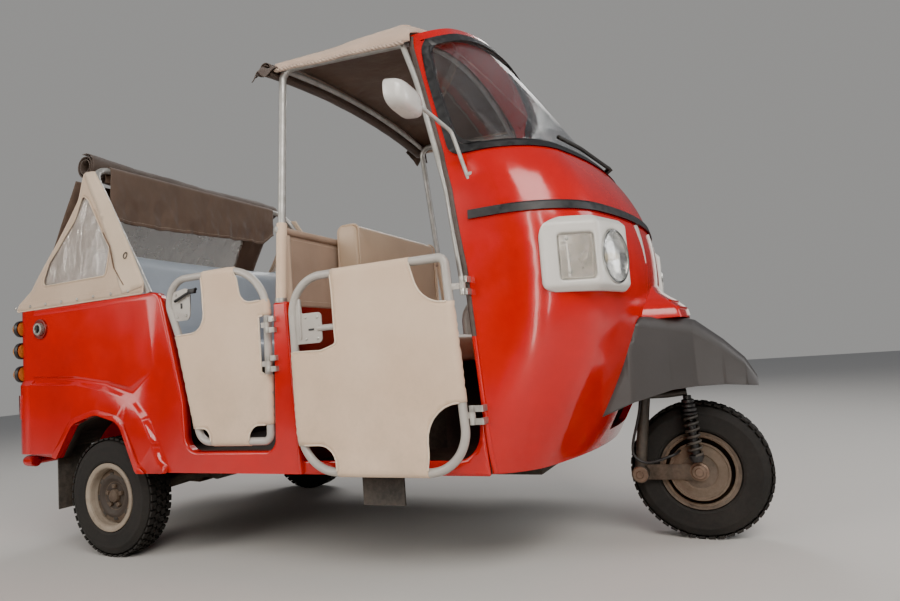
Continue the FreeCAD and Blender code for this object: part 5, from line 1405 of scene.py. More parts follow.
def makeNose():
    points, rows = [], []
    for z, front, half, cabHalf, back in nose["rows"]:
        corners = ((back, -cabHalf, 0), (front + 0.012, -half, min(nose["corner"], half * 0.4)), (front, 0, 0.5),
                   (front + 0.012, half, min(nose["corner"], half * 0.4)), (back, cabHalf, 0))
        rows.append([(at(s), y, z) for s, y in spacedLine(roundedLine(corners, False, 5), 1.0, False)])
    count = len(rows[0])
    for row in rows:
        points += row
    faces = gridFaces(len(rows), count)
    faces.append(tuple(range(count)))
    last = (len(rows) - 1) * count
    faces.append(tuple(range(last + count - 1, last - 1, -1)))
    for j in range(len(rows) - 1):
        a = j * count
        faces.append((a, a + count, a + 2 * count - 1, a + count - 1))
    skin = outward(meshPiece("nose_panel_skin", points, faces, finish["redPaint"], 28))
    skin.data.set_sharp_from_angle(angle=math.radians(28))
    show(skin, "body", "nose_panel")
    fronts = [(z, front) for z, front, half, cabHalf, back in nose["rows"]]
    halves = [(z, half) for z, front, half, cabHalf, back in nose["rows"]]
    trims = []
    surface = treeOf(skin, nodes["cab_shell"])
    for key, side in (("ridge", 1), ("mark", -1), ("mark", 1)):
        line = [Vector(row) for row in nose[key]]
        ribbon = []
        for k in range(6 * (len(line) - 1) + 1):
            index = min(k // 6, len(line) - 2)
            y, z, half = line[index].lerp(line[index + 1], k / 6 - index)
            run = line[index + 1] - line[index]
            hit, away = surface.ray_cast(Vector((2.0, side * y, z)), Vector((-1, 0, 0)))[:2]
            if y == 0:
                away = Vector((away.x, 0, away.z)).normalized()
            across = Vector((0, run[1], -run[0] * side)).normalized()
            across = (across - away * across.dot(away)).normalized()
            ribbon.append((hit, across * half, away * nose["lift"][key]))
        trims.append(bandAlong("noseEdging", ribbon, finish["whitePaint"]))
    for z, thick in nose["ribs"]:
        route = []
        for k in range(-8, 9):
            share = k / 8
            half = between(halves, z) * 0.94
            route.append((at(between(fronts, z) + 0.012 * abs(share) ** 1.5 + 0.001), share * half, z))
        trims.append(tubeAlong("noseRib", route, thick, finish["redPaint"], sides=4))
    show(joined("nose_trim", trims), "body")


mirror = {
    "station": 0.575,
    "y": 0.743,
    "z": 1.283,
    "half": (0.043, 0.068, 0.0375),  # forward, across, up
    "lean": 0.18,
    "power": 3.4,
    "mesh": (16, 40),  # rings, steps round
    "back": 0.012,  # the flat back, behind the middle
    "stalk": ((0.56, 0.745, 1.272), (0.55, 0.722, 1.275), (0.54, 0.7, 1.27), (0.512, 0.628, 1.236),
              (0.5, 0.604, 1.222),
              (0.496, 0.6, 1.208), (0.47, 0.59, 1.104), (0.465, 0.589, 1.085)),
    "foot": (0.464, 0.59, 1.08),
}


def makeMirrors():
    pieces = []

    def sunk(x, y):
        return mirror["lean"] * (x * 0.9 - y * 0.42)

    for side in (-1, 1):
        centre = Vector((at(mirror["station"]), side * mirror["y"], mirror["z"]))
        points = []
        rings, steps = mirror["mesh"]
        power = mirror["power"]
        for j in range(rings + 1):
            lift = -math.pi / 2 + math.pi * j / rings
            for i in range(steps):
                turn = 2 * math.pi * i / steps
                raw = (math.sin(lift), math.cos(lift) * math.cos(turn), math.cos(lift) * math.sin(turn))
                size = sum(abs(c) ** power for c in raw) ** (-1 / power)
                x = max(raw[0] * size * mirror["half"][0], -mirror["back"])
                y = raw[1] * size * mirror["half"][1]
                points.append(centre + Vector((x, y, raw[2] * size * mirror["half"][2] - sunk(x, y * side))))
        faces = gridFaces(rings + 1, steps, True)
        pieces.append(outward(meshPiece("mirrorShell", points, faces, finish["whitePaint"], 40)))
        glass = turned("mirrorGlass", (0, 0, 0), "mirror", 40, axis="X")
        wide, tall = [half * 0.84 for half in mirror["half"][1:]]
        glass.data.transform(Matrix.Translation(centre) @ Matrix.Diagonal((1, wide, tall, 1)))
        for vertex in glass.data.vertices:
            vertex.co.z -= sunk(vertex.co.x - centre.x, (vertex.co.y - centre.y) * side)
        pieces.append(outward(glass))
        route = [(at(s), side * y, z) for s, y, z in mirror["stalk"]]
        pieces.append(tubeAlong("mirrorArm", route[:3], 0.0068, finish["gasket"], sides=4))
        pieces.append(tubeAlong("mirrorStalk", route[2:], 0.0058, finish["tube"], sides=4))
        station, y, z = mirror["foot"]
        pieces.append(boxPart("mirrorFoot", (0.022, 0.008, 0.05), 0.003, centre=(at(station), side * (y - 0.002), z),
                              material=finish["tube"]))
        for lift in (-0.017, 0.017):
            pieces.append(turned("footScrew", (at(station), side * y, z + lift), "zinc", 14, side))
    show(joined("mirror_units", pieces), "body", "mirrors")


tail = {
    "lamps": (0.666, 0.756, 0.842),
    "lampStation": 2.3945,
    "lampY": 0.598,
    "lean": 0.35,
    "reflector": (2.356, 0.54, 0.04, 0.09),  # station, z, length, height
    "filler": (2.229, -0.627, 0.828),  # station, distance from the middle, height
}


def makeSmallTrim():
    lamps = []
    for side in (-1, 1):
        out = Vector((-1, side * tail["lean"], 0)).normalized()
        for z in tail["lamps"]:
            base = Vector((at(tail["lampStation"]), side * tail["lampY"], z))
            for key, paint in (("lampCollar", "gasket"), ("tailLens", "tailLens")):
                piece = turned(key, (0, 0, 0), paint, 36)
                piece.data.transform(facing(base, out))
                lamps.append(outward(piece))
    show(joined("tail_lamp_units", lamps), "body", "tail_lamps")
    extras = []
    station, z, length, height = tail["reflector"]
    surface = treeOf(nodes["tail_panel"])
    for side in (-1, 1):
        spot, away = surface.ray_cast(Vector((at(station), side * 0.9, z)), Vector((0, -side, 0)))[:2]
        skew = math.atan2(away.y, away.x) - side * math.pi / 2
        extras.append(boxPart("sideReflector", (length, 0.006, height), 0.002, skew, spot + away * 0.001,
                              finish["redLens"]))
    station, y, z = tail["filler"]
    centre = (at(station), y, z)
    extras += [
        turned("fillerDish", centre, "shadedRedPaint", 48),
        turned("fillerNeck", centre, "zinc", 48),
        turned("fillerCover", centre, "gasket", 40),
        boxPart("fillerGrip", (0.006, 0.006, 0.022), 0.0015, centre=(at(station), y - 0.0135, z),
                material=finish["gasket"]),
    ]
    for piece in extras:
        outward(piece)
    show(joined("body_trim", extras), "body", "filler_cap")


handle = {
    "rake": 25,
    "axis": (0.1025, 0.45),  # station and height of a spot on the steering axis
    "height": 0.96,
    "grip": 0.0165,
    "lever": 0.0045,
    "outerEnd": (-0.06, 0.262, 0.02),  # from the bar's middle: forward, aside, up
    "innerEnd": (-0.012, 0.156, 0.02),
    "leverSpots": ((0.02, 0.02, -0.004), (0.034, -0.02, -0.006), (0.03, 0.012, -0.006)),
    "dial": (0.298, 1.13),
}


def makeControls():
    # grips and levers on the handlebar, a speedometer in the dashboard
    rake = math.radians(handle["rake"])
    axisStation, axisHeight = handle["axis"]
    station = axisStation - (axisHeight - handle["height"]) * math.tan(rake)
    up = Vector((-math.sin(rake), 0, math.cos(rake)))
    middle = Vector((at(station), 0, handle["height"])) + up * 0.016
    pieces = []
    for side in (-1, 1):
        mirrored = Matrix.Diagonal((1, side, 1))
        a = middle + mirrored @ Vector(handle["outerEnd"])
        b = middle + mirrored @ Vector(handle["innerEnd"])
        pieces.append(tubeAlong("grip", [a, a.lerp(b, 0.5), b], handle["grip"], finish["gasket"], sides=4))
        lever = [end + mirrored @ Vector(spot) for end, spot in zip((b, a, a), handle["leverSpots"])]
        pieces.append(tubeAlong("lever", lever, handle["lever"], finish["zinc"], sides=3))
    show(joined("handlebar_grips", pieces), "steering")
    dial = turned("dial", (0, 0, 0), "gasket", 40)
    station, height = handle["dial"]
    dial.data.transform(facing((at(station), 0, height), (-1, 0, 0.25)))
    show(outward(dial), "body")


# The folding hood behind the roof. Lines are (station, height, rounding).
hood = {
    "outer": 0.6185,
    "lean": (0.94, 0.45, 0.036),  # from this height, over this reach, this far in
    "sag": (1.7, 0.62, 0.01),  # from this station, over this reach, this far in
    "step": 0.016,
    "cloth": 0.0022,
    "side": ((1.69, 0.9065, 0.008), (1.684, 0.945, 0.012), (1.738, 1.04, 0.06), (1.966, 1.392, 0.01),
             (2.024, 1.4, 0.01),
             (2.056, 1.299, 0.06), (2.256, 1.034, 0.08), (2.29, 0.98, 0.06), (2.372, 0.93, 0.04), (2.384, 0.9065, 0)),
    "window": ((1.884, 0.991, 0.014), (1.87, 1.092, 0.024), (1.903, 1.139, 0.06), (1.997, 1.291, 0.03),
               (2.031, 1.316, 0.012),
               (2.074, 1.228, 0.08), (2.203, 1.08, 0.06), (2.236, 0.991, 0.02)),
    "piping": ((1.909, 1.153), (1.869, 1.096), (1.841, 1.016), (1.782, 0.945)),
    "band": ((1.678, 0.93, 0.01), (1.734, 1.04, 0.06), (1.962, 1.396, 0.01), (2.026, 1.404, 0.01),
             (1.996, 1.34, 0.03),
             (1.862, 1.096, 0.06), (1.826, 0.99, 0.06), (1.792, 0.914, 0.01)),
    "windowMiddle": (2.04, 1.11),
    "hem": (1.73, 0.64, 0.936),  # station, reach and height of the lower stitch line
    "snaps": (1.76, 0.09, 8, 0.921),  # first station, pitch, count, height
    "tie": ((1.772, 1.062), (1.765, 1.052), (1.776, 1.036), (1.789, 1.046), (1.784, 1.058)),
    "bowStation": 2.017,
    "bowTop": 1.43,
    "rollY": 0.532,
    "rollStation": 2.088,
    "rollRise": 0.02,
    "rollRadius": 0.056,
    "flap": {"y": (-0.488, 0.452), "wrap": 0.0155, "tail": 0.045,
             "low": ((-0.488, 1.231), (-0.3, 1.229), (0.153, 1.245), (0.38, 1.252), (0.452, 1.3))},
    "curtainTop": (2.111, 1.392),
    "curtainFoot": (2.386, 0.9065),
    "curtainHalf": 0.557,
    "paneMiddle": (0, 1.155),
    "pane": ((-0.415, 1.01, 0.03), (0.415, 1.01, 0.03), (0.395, 1.3, 0.03), (-0.395, 1.3, 0.03)),
}


def between(table, value):
    # straight lines through the table's rows
    if value <= table[0][0]:
        return table[0][1]
    for (a, low), (b, high) in zip(table, table[1:]):
        if value <= b:
            return low + (high - low) * (value - a) / (b - a)
    return table[-1][1]


def hoodSpot(side, seed, lift=0.0, wave=0.0035):
    leanFrom, leanReach, leanIn = hood["lean"]
    sagFrom, sagReach, sagIn = hood["sag"]

    def place(u, v):
        lean = max(0.0, v - leanFrom) / leanReach
        depth = hood["outer"] - leanIn * lean ** 1.2
        drape = ruffle(u, v, 0.16, seed) * wave + ruffle(u * 1.4 + v, v, 0.05, seed + 2) * wave * 0.35
        across = min(1.0, max(0.0, (u - sagFrom) / sagReach))
        sag = -sagIn * math.sin(math.pi * min(1.0, lean)) * math.sin(math.pi * across)
        return (at(u), side * (depth + drape + sag + lift), v)
    return place


def edgeStitches(lines, name, spacing=0.0065, length=0.0045):
    return grown(lineMesh(name, lines), "beadsAlong", Spacing=spacing, Length=length, Width=0.0011, Height=0.0009,
                 Material=finish["thread"])


def makeHoodSide(side, name, seed):
    outline = roundedLine(hood["side"], True)
    window = roundedLine(hood["window"], True)
    place = hoodSpot(side, seed)
    cloth = flatPanel("hood_side_" + name, outline, [window], hood["step"], place, finish["hoodCanvas"],
                      hood["cloth"], seed)
    grow = [p + (p - Vector(hood["windowMiddle"])).normalized() * 0.009 for p in window]
    paneWave = hoodSpot(side, seed + 9, -0.0035, 0.0065)
    pane = flatPanel("hood_pane_" + name, grow, [], 0.014, paneWave, finish["vinylPane"], 0.0012, seed)
    lifted = hoodSpot(side, seed, 0.0022)
    bandLine = roundedLine(hood["band"], True)
    band = flatPanel("hood_band_" + name, bandLine, [], hood["step"], lifted, finish["bandCanvas"], hood["cloth"],
                     seed + 1)
    trims = []
    piping = spacedLine([Vector(p) for p in hood["piping"]], 0.02, False)
    trims.append(tubeAlong("piping", [lifted(p[0], p[1]) for p in piping], 0.0026, finish["piping"], sides=3))
    ringLine = spacedLine(window, 0.02)
    trims.append(tubeAlong("paneEdge", [lifted(p[0], p[1]) for p in ringLine], 0.002, finish["bandCanvas"],
                           cyclic=True, sides=3))
    edge = spacedLine(outline, 0.02)
    trims.append(tubeAlong("sideHem", [place(p[0], p[1]) for p in edge], 0.0024, finish["bandCanvas"], cyclic=True,
                           sides=3))
    lines = []
    for line, shrink in ((window, 1.06), (bandLine, 0.94)):
        middle = sum(line, Vector((0, 0))) / len(line)
        lines.append([(lifted(*(middle + (p - middle) * shrink)), (0, side, 0)) for p in spacedLine(line, 0.012)])
    start, reach, height = hood["hem"]
    lines.append([(lifted(start + reach * k / 60, height), (0, side, 0)) for k in range(61)])
    trims.append(edgeStitches(lines, "hoodStitches"))
    start, pitch, count, height = hood["snaps"]
    snaps = [[(lifted(start + pitch * k, height), (0, side, 0)) for k in range(count)]]
    trims.append(grown(lineMesh("hoodSnaps", snaps), "beadsAlong", Spacing=pitch, Length=0.013, Width=0.013,
                       Height=0.006,
                       Material=finish["zinc"]))
    tie = [hoodSpot(side, seed, 0.006)(*p) for p in hood["tie"]]
    trims.append(tubeAlong("cableTie", tie, 0.0015, finish["gasket"], cyclic=True, sides=3))
    trim = joined("hood_side_trim_" + name, trims)
    for piece in (cloth, pane, band, trim):
        show(piece, "body")
    return cloth, pane


def rolledCloth(name, axisLine, radius, turns, material, seed, inner=0.3, columns=90, start=0.0):
    # cloth rolled round a line; axisLine(share) gives the axis point and its two cross directions
    rows = int(26 * turns)
    total = 2 * math.pi * turns
    length = total * radius * (1 + inner) / 2

    def place(u, v):
        point, across, up = axisLine(u)
        angle = start + total * v
        wave = ruffle(u * 3.1, v * turns, 0.35, seed) * 0.06
        wave += ruffle(u * 11, math.cos(angle) * 1.3, 0.6, seed + 1) * 0.05
        spread = radius * (inner + (0.97 - inner) * v) * (1 - 0.05 + wave)
        return point + across * (spread * math.cos(angle)) + up * (spread * math.sin(angle))

    wide = (axisLine(1.0)[0] - axisLine(0.0)[0]).length
    sheet = clothGrid(name, columns, rows, place, material, (wide, length), 0.002)
    return sheet, (wide, length)


def makeHood():
    for side, name in ((-1, "right"), (1, "left")):
        cloth, pane = makeHoodSide(side, name, 11 + side * 4)
        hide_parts("hood_sides")
        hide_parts("hood_windows")
    half = hood["rollY"]

    def rollAxis(u):
        y = -half + 2 * half * u
        sag = -0.012 * (1 - (y / half) ** 2) + ruffle(u, 0, 0.16, 5) * 0.006
        flat = 1.0 - 0.22 * max(0.0, (u - 0.72) / 0.28)
        spot = Vector((at(hood["rollStation"]), y, hood["bowTop"] + hood["rollRise"] + sag))
        return spot, Vector((1, 0, 0)), Vector((0, 0, flat))

    roll, size = rolledCloth("hood_roll_cloth", rollAxis, hood["rollRadius"], 2.6, finish["rollCanvas"], 21, 0.38,
                             110, -1.9)
    show(roll, "body", "hood_roll")
    flap = hood["flap"]
    y0, y1 = flap["y"]
    barX, barZ, wrap = at(hood["bowStation"]), hood["bowTop"], flap["wrap"]

    def flapSpot(u, v):
        y = y0 + (y1 - y0) * u
        low = between(flap["low"], y) + ruffle(u * 4, 0, 0.42, 4) * 0.01
        drop = barZ - low
        total = drop + math.pi * wrap + flap["tail"]
        s = v * total
        wave = ruffle(u * 3, v * 0.5, 0.2, 8) * 0.022 + ruffle(u * 8 + v * 2, v * 0.8, 0.35, 2) * 0.009
        if s < drop:
            depth = (drop - s) / drop
            return Vector((barX + wrap + wave * depth - 0.012 * depth, y, low + s))
        if s < drop + math.pi * wrap:
            angle = (s - drop) / wrap
            return Vector((barX + wrap * math.cos(angle), y, barZ + wrap * math.sin(angle)))
        return Vector((barX - wrap, y, barZ - (s - drop - math.pi * wrap)))

    hanging = clothGrid("hood_flap", 128, 44, flapSpot, finish["brownCanvas"], (y1 - y0, 0.3), 0.002)
    show(hanging, "body")
    hem = [[(Vector(flapSpot(k / 90, 0.045)) + Vector((0.0016, 0, 0)), (1, 0, 0)) for k in range(91)]]
    thread = edgeStitches(hem, "flapStitches")
    show(thread, "body")
    (topStation, topZ), (footStation, footZ) = hood["curtainTop"], hood["curtainFoot"]
    wide = hood["curtainHalf"]

    def curtainSpot(u, v):
        share = (v - footZ) / (topZ - footZ)
        slack = 0.018 * math.sin(math.pi * min(1, max(0, share))) * math.cos(u / wide * 1.4)
        wave = ruffle(u, v, 0.16, 31) * 0.006 + ruffle(u * 1.3, v, 0.05, 33) * 0.002
        return (at(footStation + (topStation - footStation) * share) - slack * 0.4 + wave, u, v)

    edge = [Vector(p) for p in ((-wide, footZ), (wide, footZ), (wide, topZ), (-wide, topZ))]
    hole = roundedLine(hood["pane"], True)
    curtain = flatPanel("hood_rear_cloth", edge, [hole], 0.022, curtainSpot, finish["brownCanvas"], hood["cloth"], 9)
    grow = [p + (p - Vector(hood["paneMiddle"])).normalized() * 0.01 for p in hole]
    pane = flatPanel("hood_rear_pane", grow, [], 0.018, lambda u, v: (curtainSpot(u, v)[0] + 0.003, u, v),
                     finish["hazyPane"], 0.0012, 9)
    show(curtain, "body", "hood_curtain")
    show(pane, "body")


canopy = {
    "rear": (1.1465, 0.53, 1.59, 1.62, 1.662),  # station, half width, edge, shoulder, crown
    "front": (0.668, 0.524, 1.558, 1.588, 1.699),
    "size": (0.508, 1.15),  # the flat cloth
    "fullness": 0.92,
    "lap": 1.045,  # the cover's front edge lies over the roof
    "rollRadius": 0.027,
    "rollStation": 1.1713,
    "rollEnds": (0.545, 1.5976),
    "rollCrown": 1.6395,
    "tongue": {"reach": 0.078, "width": 0.088, "droop": 0.075},
    # pocket: its span along, its place across and the width of its opening, a band of painted shade
    "pocket": {"u": (0.66, 0.95), "s": 0.8, "lip": 0.012},
}


def canopySpot(u, s, drop=0.0):
    # u from the rear to the front, s from -1 to 1 across, past that down the hanging edge
    rear, front = canopy["rear"], canopy["front"]
    station, half, low, shoulder, crown = [a + (b - a) * u for a, b in zip(rear, front)]
    inside = max(-1.0, min(1.0, s))
    arch = crown - (crown - shoulder) * inside ** 2
    full = low + (crown + 0.012 - low) * (1 - abs(inside) ** 3.4) ** 0.42
    edge = max(0.0, min(1.0, u * 9, (canopy["lap"] - u) * 7))
    share = canopy["fullness"] * edge ** 0.5
    z = arch * (1 - share) + max(arch, full) * share
    sag = 0.008 * math.sin(math.pi * u) * (1 - inside ** 2)
    wave = ruffle(u * 0.48, inside * 0.5, 0.12, 41) * 0.006 * edge + ruffle(u * 1.4, inside * 0.7, 0.05, 43) * 0.0016
    z += wave - sag - drop - 0.0025
    if abs(s) > 1:
        z -= (abs(s) - 1) * half
        return Vector((at(station), math.copysign(half - 0.003 + ruffle(u * 2, s, 0.3, 6) * 0.002, s), z))
    return Vector((at(station), inside * (half - 0.003), z))


def makeCanopy():
    reach = 1.052
    place = lambda u, v: canopySpot(u * canopy["lap"], -reach + 2 * reach * v)
    cloth = clothGrid("canopy_cloth", 44, 96, place, finish["roofCanvas"], canopy["size"], 0.0026)
    show(cloth, "body", "front_canopy")
    lining = clothGrid("canopy_lining", 30, 60, lambda u, v: canopySpot(0.01 + 0.98 * u, -0.985 + 1.97 * v, 0.0026),
                               finish["brownCanvas"], (0.47, 1.06), 0.0012)
    show(lining, "body")
    ropes = []
    for side in (-1, 1):
        line = [(canopySpot(k / 60, side * 1.047) + Vector((0, side * 0.0005, 0)), (0, side, 0)) for k in range(61)]
        ropes.append(grown(lineMesh("canopyRope", [line]), "ropeAlong", Spacing=0.003, Radius=0.0062, Lobe=0.24,
                           Turns=24.0,
                           Material=finish["rope"]))
    stitches = []
    for side in (-1, 1):
        stitches.append([(canopySpot(k / 60, side * 0.955) + Vector((0, 0, 0.0018)), (0, 0, 1)) for k in range(61)])
    for u in (0.03, 0.06):
        stitches.append([(canopySpot(u, -0.97 + 1.94 * k / 90) + Vector((0, 0, 0.0018)), (0, 0, 1))
                         for k in range(91)])
    ropes.append(edgeStitches(stitches, "canopyStitches"))
    # each pocket's opening is a black band between two cloth lips: painted shade inside the pocket
    pocket = canopy["pocket"]
    start, end = pocket["u"]
    for side in (-1, 1):
        mouthShade = []
        for k in range(25):
            share = k / 24
            u = start + (end - start) * share
            opening = math.sin(math.pi * share) ** 0.7
            middle = canopySpot(u, side * pocket["s"]) + Vector((0, 0, 0.0016))
            mouthShade.append((middle, Vector((0, 0.0008 + pocket["lip"] * 0.5 * opening, 0)), Vector((0, 0, 0.001))))
        ropes.append(bandAlong("pocketMouthShade", mouthShade, finish["gasket"]))
        for shift in (-0.55, 0.55):
            lip = [row[0] + row[1] * shift * 2 + Vector((0, 0, 0.0015)) for row in mouthShade]
            ropes.append(tubeAlong("pocketLip", lip, 0.002, finish["roofCanvas"], sides=3))
    trim = show(joined("canopy_edges", ropes), "body")
    endY, endZ = canopy["rollEnds"]

    def rollAxis(u):
        y = -endY + 2 * endY * u
        z = canopy["rollCrown"] - (canopy["rollCrown"] - endZ) * (y / endY) ** 2
        slope = -2 * (canopy["rollCrown"] - endZ) * y / endY ** 2
        return Vector((at(canopy["rollStation"]), y, z)), Vector((1, 0, 0)), Vector((0, -slope, 1)).normalized()

    roll, size = rolledCloth("canopy_roll_cloth", rollAxis, canopy["rollRadius"], 1.8, finish["rollCanvas"], 51, 0.45,
                             90, 0.6)
    show(roll, "body", "canopy_roll")
    tongue = canopy["tongue"]
    for side, name in ((-1, "right"), (1, "left")):
        def tongueSpot(u, v, side=side):
            y = endY - 0.045 + tongue["reach"] * u
            taper = 1 - 0.55 * max(0.0, u - 0.35)
            across = (v - 0.5) * tongue["width"] * taper
            droop = tongue["droop"] * max(0.0, u - 0.3) ** 1.5
            fold = 0.01 * math.sin(v * 9 + u * 3) + ruffle(u * 0.2, v * 0.1, 0.05, 71) * 0.01
            curl = -0.018 * (2 * abs(v - 0.5)) ** 2
            return Vector((at(canopy["rollStation"] + 0.004 + across), side * y,
                           endZ + 0.016 + fold * 0.6 + curl - droop))
        loose = clothGrid("canopy_roll_end_" + name, 26, 22, tongueSpot, finish["rollCanvas"],
                          (tongue["reach"], tongue["width"]), 0.0022)
        show(loose, "body")


partition = {
    "station": 1.13,
    "half": 0.557,
    "low": 0.8065,
    "high": 1.0365,
    "rail": 1.048,
    "railHalf": 0.575,
    "railRadius": 0.0125,
    "straps": (-0.5385, -0.2, 0.2, 0.5385),
    "post": ((1.112, 0.6, 0.815), (1.137, 0.5, 1.604)),  # foot and head: station, y, z
    "sleeve": (0.014, 0.306),  # start and reach, as shares of the post
}


def makePartition():
    half, low, high = partition["half"], partition["low"], partition["high"]

    def place(u, v):
        y = -half + 2 * half * u
        wave = ruffle(u * 1.2, v * 0.25, 0.12, 61) * 0.007 * math.sin(math.pi * v) + ruffle(u * 4, v, 0.3, 63) * 0.002
        return Vector((at(partition["station"]) + wave, y, low + (high - low) * v))

    cloth = clothGrid("partition_cloth", 110, 24, place, finish["partition"], (2 * half, high - low), 0.0024)
    show(cloth, "body", "partition_canvas")
    end = partition["railHalf"]
    rail = [(at(partition["station"]), -end + 2 * end * k / 40, partition["rail"]) for k in range(41)]
    trims = [tubeAlong("railSleeve", rail, partition["railRadius"], finish["partition"], sides=5)]
    for y in partition["straps"]:
        strap = lambda u, v, y=y: Vector((at(partition["station"]) + 0.004, y - 0.014 + 0.028 * u,
                                          low + (high - low + 0.006) * v))
        trims.append(clothGrid("strap", 4, 14, strap, finish["canvas"], (0.028, high - low), 0.0018))
    lines = []
    for z in (low + 0.02, high - 0.012):
        lines.append([((at(partition["station"]) + 0.0052, -half + 2 * half * k / 120, z), (1, 0, 0))
                      for k in range(121)])
    trims.append(edgeStitches(lines, "partitionStitches"))
    trim = show(joined("partition_trim", trims), "body")
    sleeves = []
    sleeveFrom, sleeveReach = partition["sleeve"]
    for side in (-1, 1):
        foot, head = [Vector((at(s), side * y, z)) for s, y, z in partition["post"]]
        route = [foot.lerp(head, sleeveFrom + sleeveReach * k / 30) for k in range(31)]
        sleeves.append(tubeAlong("postSleeve", route, 0.0165, finish["canvas"], sides=6))
        outwardSide = Vector((0, side, 0))
        seam = [(p + outwardSide * 0.0172 + Vector((0.003, 0, 0)), outwardSide) for p in route]
        sleeves.append(edgeStitches([seam], "sleeveStitches"))
        ring = turned("postClamp", (0, 0, 0), "zinc", 32, axis="Z")
        ring.data.transform(Matrix.Translation(foot + Vector((0, 0, 0.006))))
        sleeves.append(outward(ring))
    show(joined("post_sleeves", sleeves), "body")


seats = (
    # node, finish, voxel, cap
    ("driver_cushion", "seatBeige", 0.014, 0.012),
    ("driver_backrest", "seatBeige", 0.012, 0.014),
    ("bench_cushion", "seatGrey", 0.018, 0.014),
    ("bench_backrest", "seatGrey", 0.016, 0.016),
)
padding = {"pressure": 4.0, "stiffness": 12, "quality": 5, "steps": 20, "firmness": 0.7, "cord": 0.0042,
           "inset": 0.006}


def puff(source, name, voxel, cap):
    # a remeshed copy blown up a little as cloth, its swelling capped
    copy = wrapMesh(name, source.data.copy())
    copy.data.materials.clear()
    outward(copy)
    remade = copy.modifiers.new("remade", "REMESH")
    remade.mode = "VOXEL"
    remade.voxel_size = voxel
    baked(copy)
    rest = [v.co.copy() for v in copy.data.vertices]
    low = Vector([min(p[i] for p in rest) for i in range(3)])
    high = Vector([max(p[i] for p in rest) for i in range(3)])
    pinned = copy.vertex_groups.new(name="sewn")
    for index, p in enumerate(rest):
        edges = sum(1 for i in range(3) if min(p[i] - low[i], high[i] - p[i]) < voxel * 1.2)
        if edges >= 2 or p.z - low.z < voxel * 0.6:
            pinned.add([index], 1.0, "REPLACE")
    cloth = copy.modifiers.new("cover", "CLOTH")
    cloth.settings.use_pressure = True
    cloth.settings.uniform_pressure_force = padding["pressure"]
    cloth.settings.vertex_group_mass = "sewn"
    cloth.settings.effector_weights.gravity = 0
    cloth.settings.tension_stiffness = cloth.settings.compression_stiffness = padding["stiffness"]
    cloth.settings.quality = padding["quality"]
    cloth.point_cache.frame_start, cloth.point_cache.frame_end = 1, padding["steps"]
    scene = bpy.context.scene
    for step in range(1, padding["steps"] + 1):
        scene.frame_set(step)
    baked(copy)
    scene.frame_set(1)
    for vertex, start in zip(copy.data.vertices, rest):
        move = vertex.co - start
        if move.length > cap:
            vertex.co = start + move * (cap / move.length)
    copy.vertex_groups.clear()
    finer = copy.modifiers.new("finer", "SUBSURF")
    finer.levels = finer.render_levels = 1
    baked(copy)
    copy.data.shade_smooth()
    return copy, low, high


def makeSeats():
    for node, finishName, voxel, cap in seats:
        pad, low, high = puff(nodes[node], node + "_pad", voxel, cap)
        pad.data.materials.clear()
        pad.data.materials.append(finish[finishName])
        show(pad, "body", node)
        cords = []
        rows = {(round(vertex.co.x, 4), round(vertex.co.z, 4)) for vertex in nodes[node].data.vertices}
        middleX, middleZ = (low.x + high.x) / 2, (low.z + high.z) / 2
        ordered = sorted(rows, key=lambda p: math.atan2(p[1] - middleZ, p[0] - middleX))
        for y in (low.y + padding["inset"], high.y - padding["inset"]):
            route = [(x, y, z) for x, z in ordered]
            cords.append(tubeAlong("welt", route, padding["cord"], finish[finishName], cyclic=True, sides=3))
        show(joined(node + "_welt", cords), "body")
    print("seats", len(seats))


# Rigid pieces that keep their CAD shape, as a merged and evenly shaded copy.
dress = (
    # node, finish, body, shading angle
    ("cab_shell", "redPaint", "body", 24),
    ("windscreen", "glass", "body", 40),
    ("belt_strip", "gasket", "body", 40),
    ("front_fender", "plastic", "body", 55),
    ("wiper", "blackPaint", "body", 40),
    ("dashboard", "plastic", "body", 30),
    ("chassis", "underbody", "body", 30),
    ("steering_head", "underbody", "body", 30),
    ("door_hinges", "zinc", "body", 30),
    ("cab_floor", "underbody", "body", 30),
    ("rear_floor", "underbody", "body", 30),
    ("bulkhead", "shadedRedPaint", "body", 30),
    ("engine", "iron", "body", 30),
    ("rear_arms", "underbody", "body", 30),
    ("side_panel_right", "redPaint", "body", 28),
    ("side_panel_left", "redPaint", "body", 28),
    ("tail_panel", "redPaint", "body", 28),
    ("rear_bumper", "redPaint", "body", 30),
    ("mud_flaps", "flap", "body", 30),
    ("canopy_frame", "tube", "body", 30),
    ("hood_bow", "tube", "body", 30),
    ("fork", "blackPaint", "steering", 30),
    ("handlebar", "blackPaint", "steering", 30),
    ("leading_link", "iron", "steering", 30),
    ("front_rim", "iron", "front_wheel", 30),
    ("rear_rim_right", "wheelPaint", "rear_wheel_right", 30),
    ("rear_rim_left", "wheelPaint", "rear_wheel_left", 30),
    ("driver_door_right", "silverPaint", "door_driver_right", 30),
    ("driver_door_left", "silverPaint", "door_driver_left", 30),
    ("passenger_door_right", "silverPaint", "door_passenger_right", 30),
    ("passenger_door_left", "silverPaint", "door_passenger_left", 30),
    ("engine_lid", "redPaint", "engine_door", 30),
)


def skinOf(node, finishName, angle, name=None):
    copy = wrapMesh(name or node + "_skin", nodes[node].data.copy())
    outward(copy)
    copy.data.materials.clear()
    copy.data.materials.append(finish[finishName])
    return evened(copy, angle)


def evened(copy, angle):
    copy.data.shade_smooth()
    copy.data.set_sharp_from_angle(angle=math.radians(angle))
    weighted = copy.modifiers.new("evenShading", "WEIGHTED_NORMAL")
    weighted.keep_sharp = True
    weighted.weight = 60
    return baked(copy)


arch = {"radius": 0.43, "depth": 0.612, "turn": 0.3}


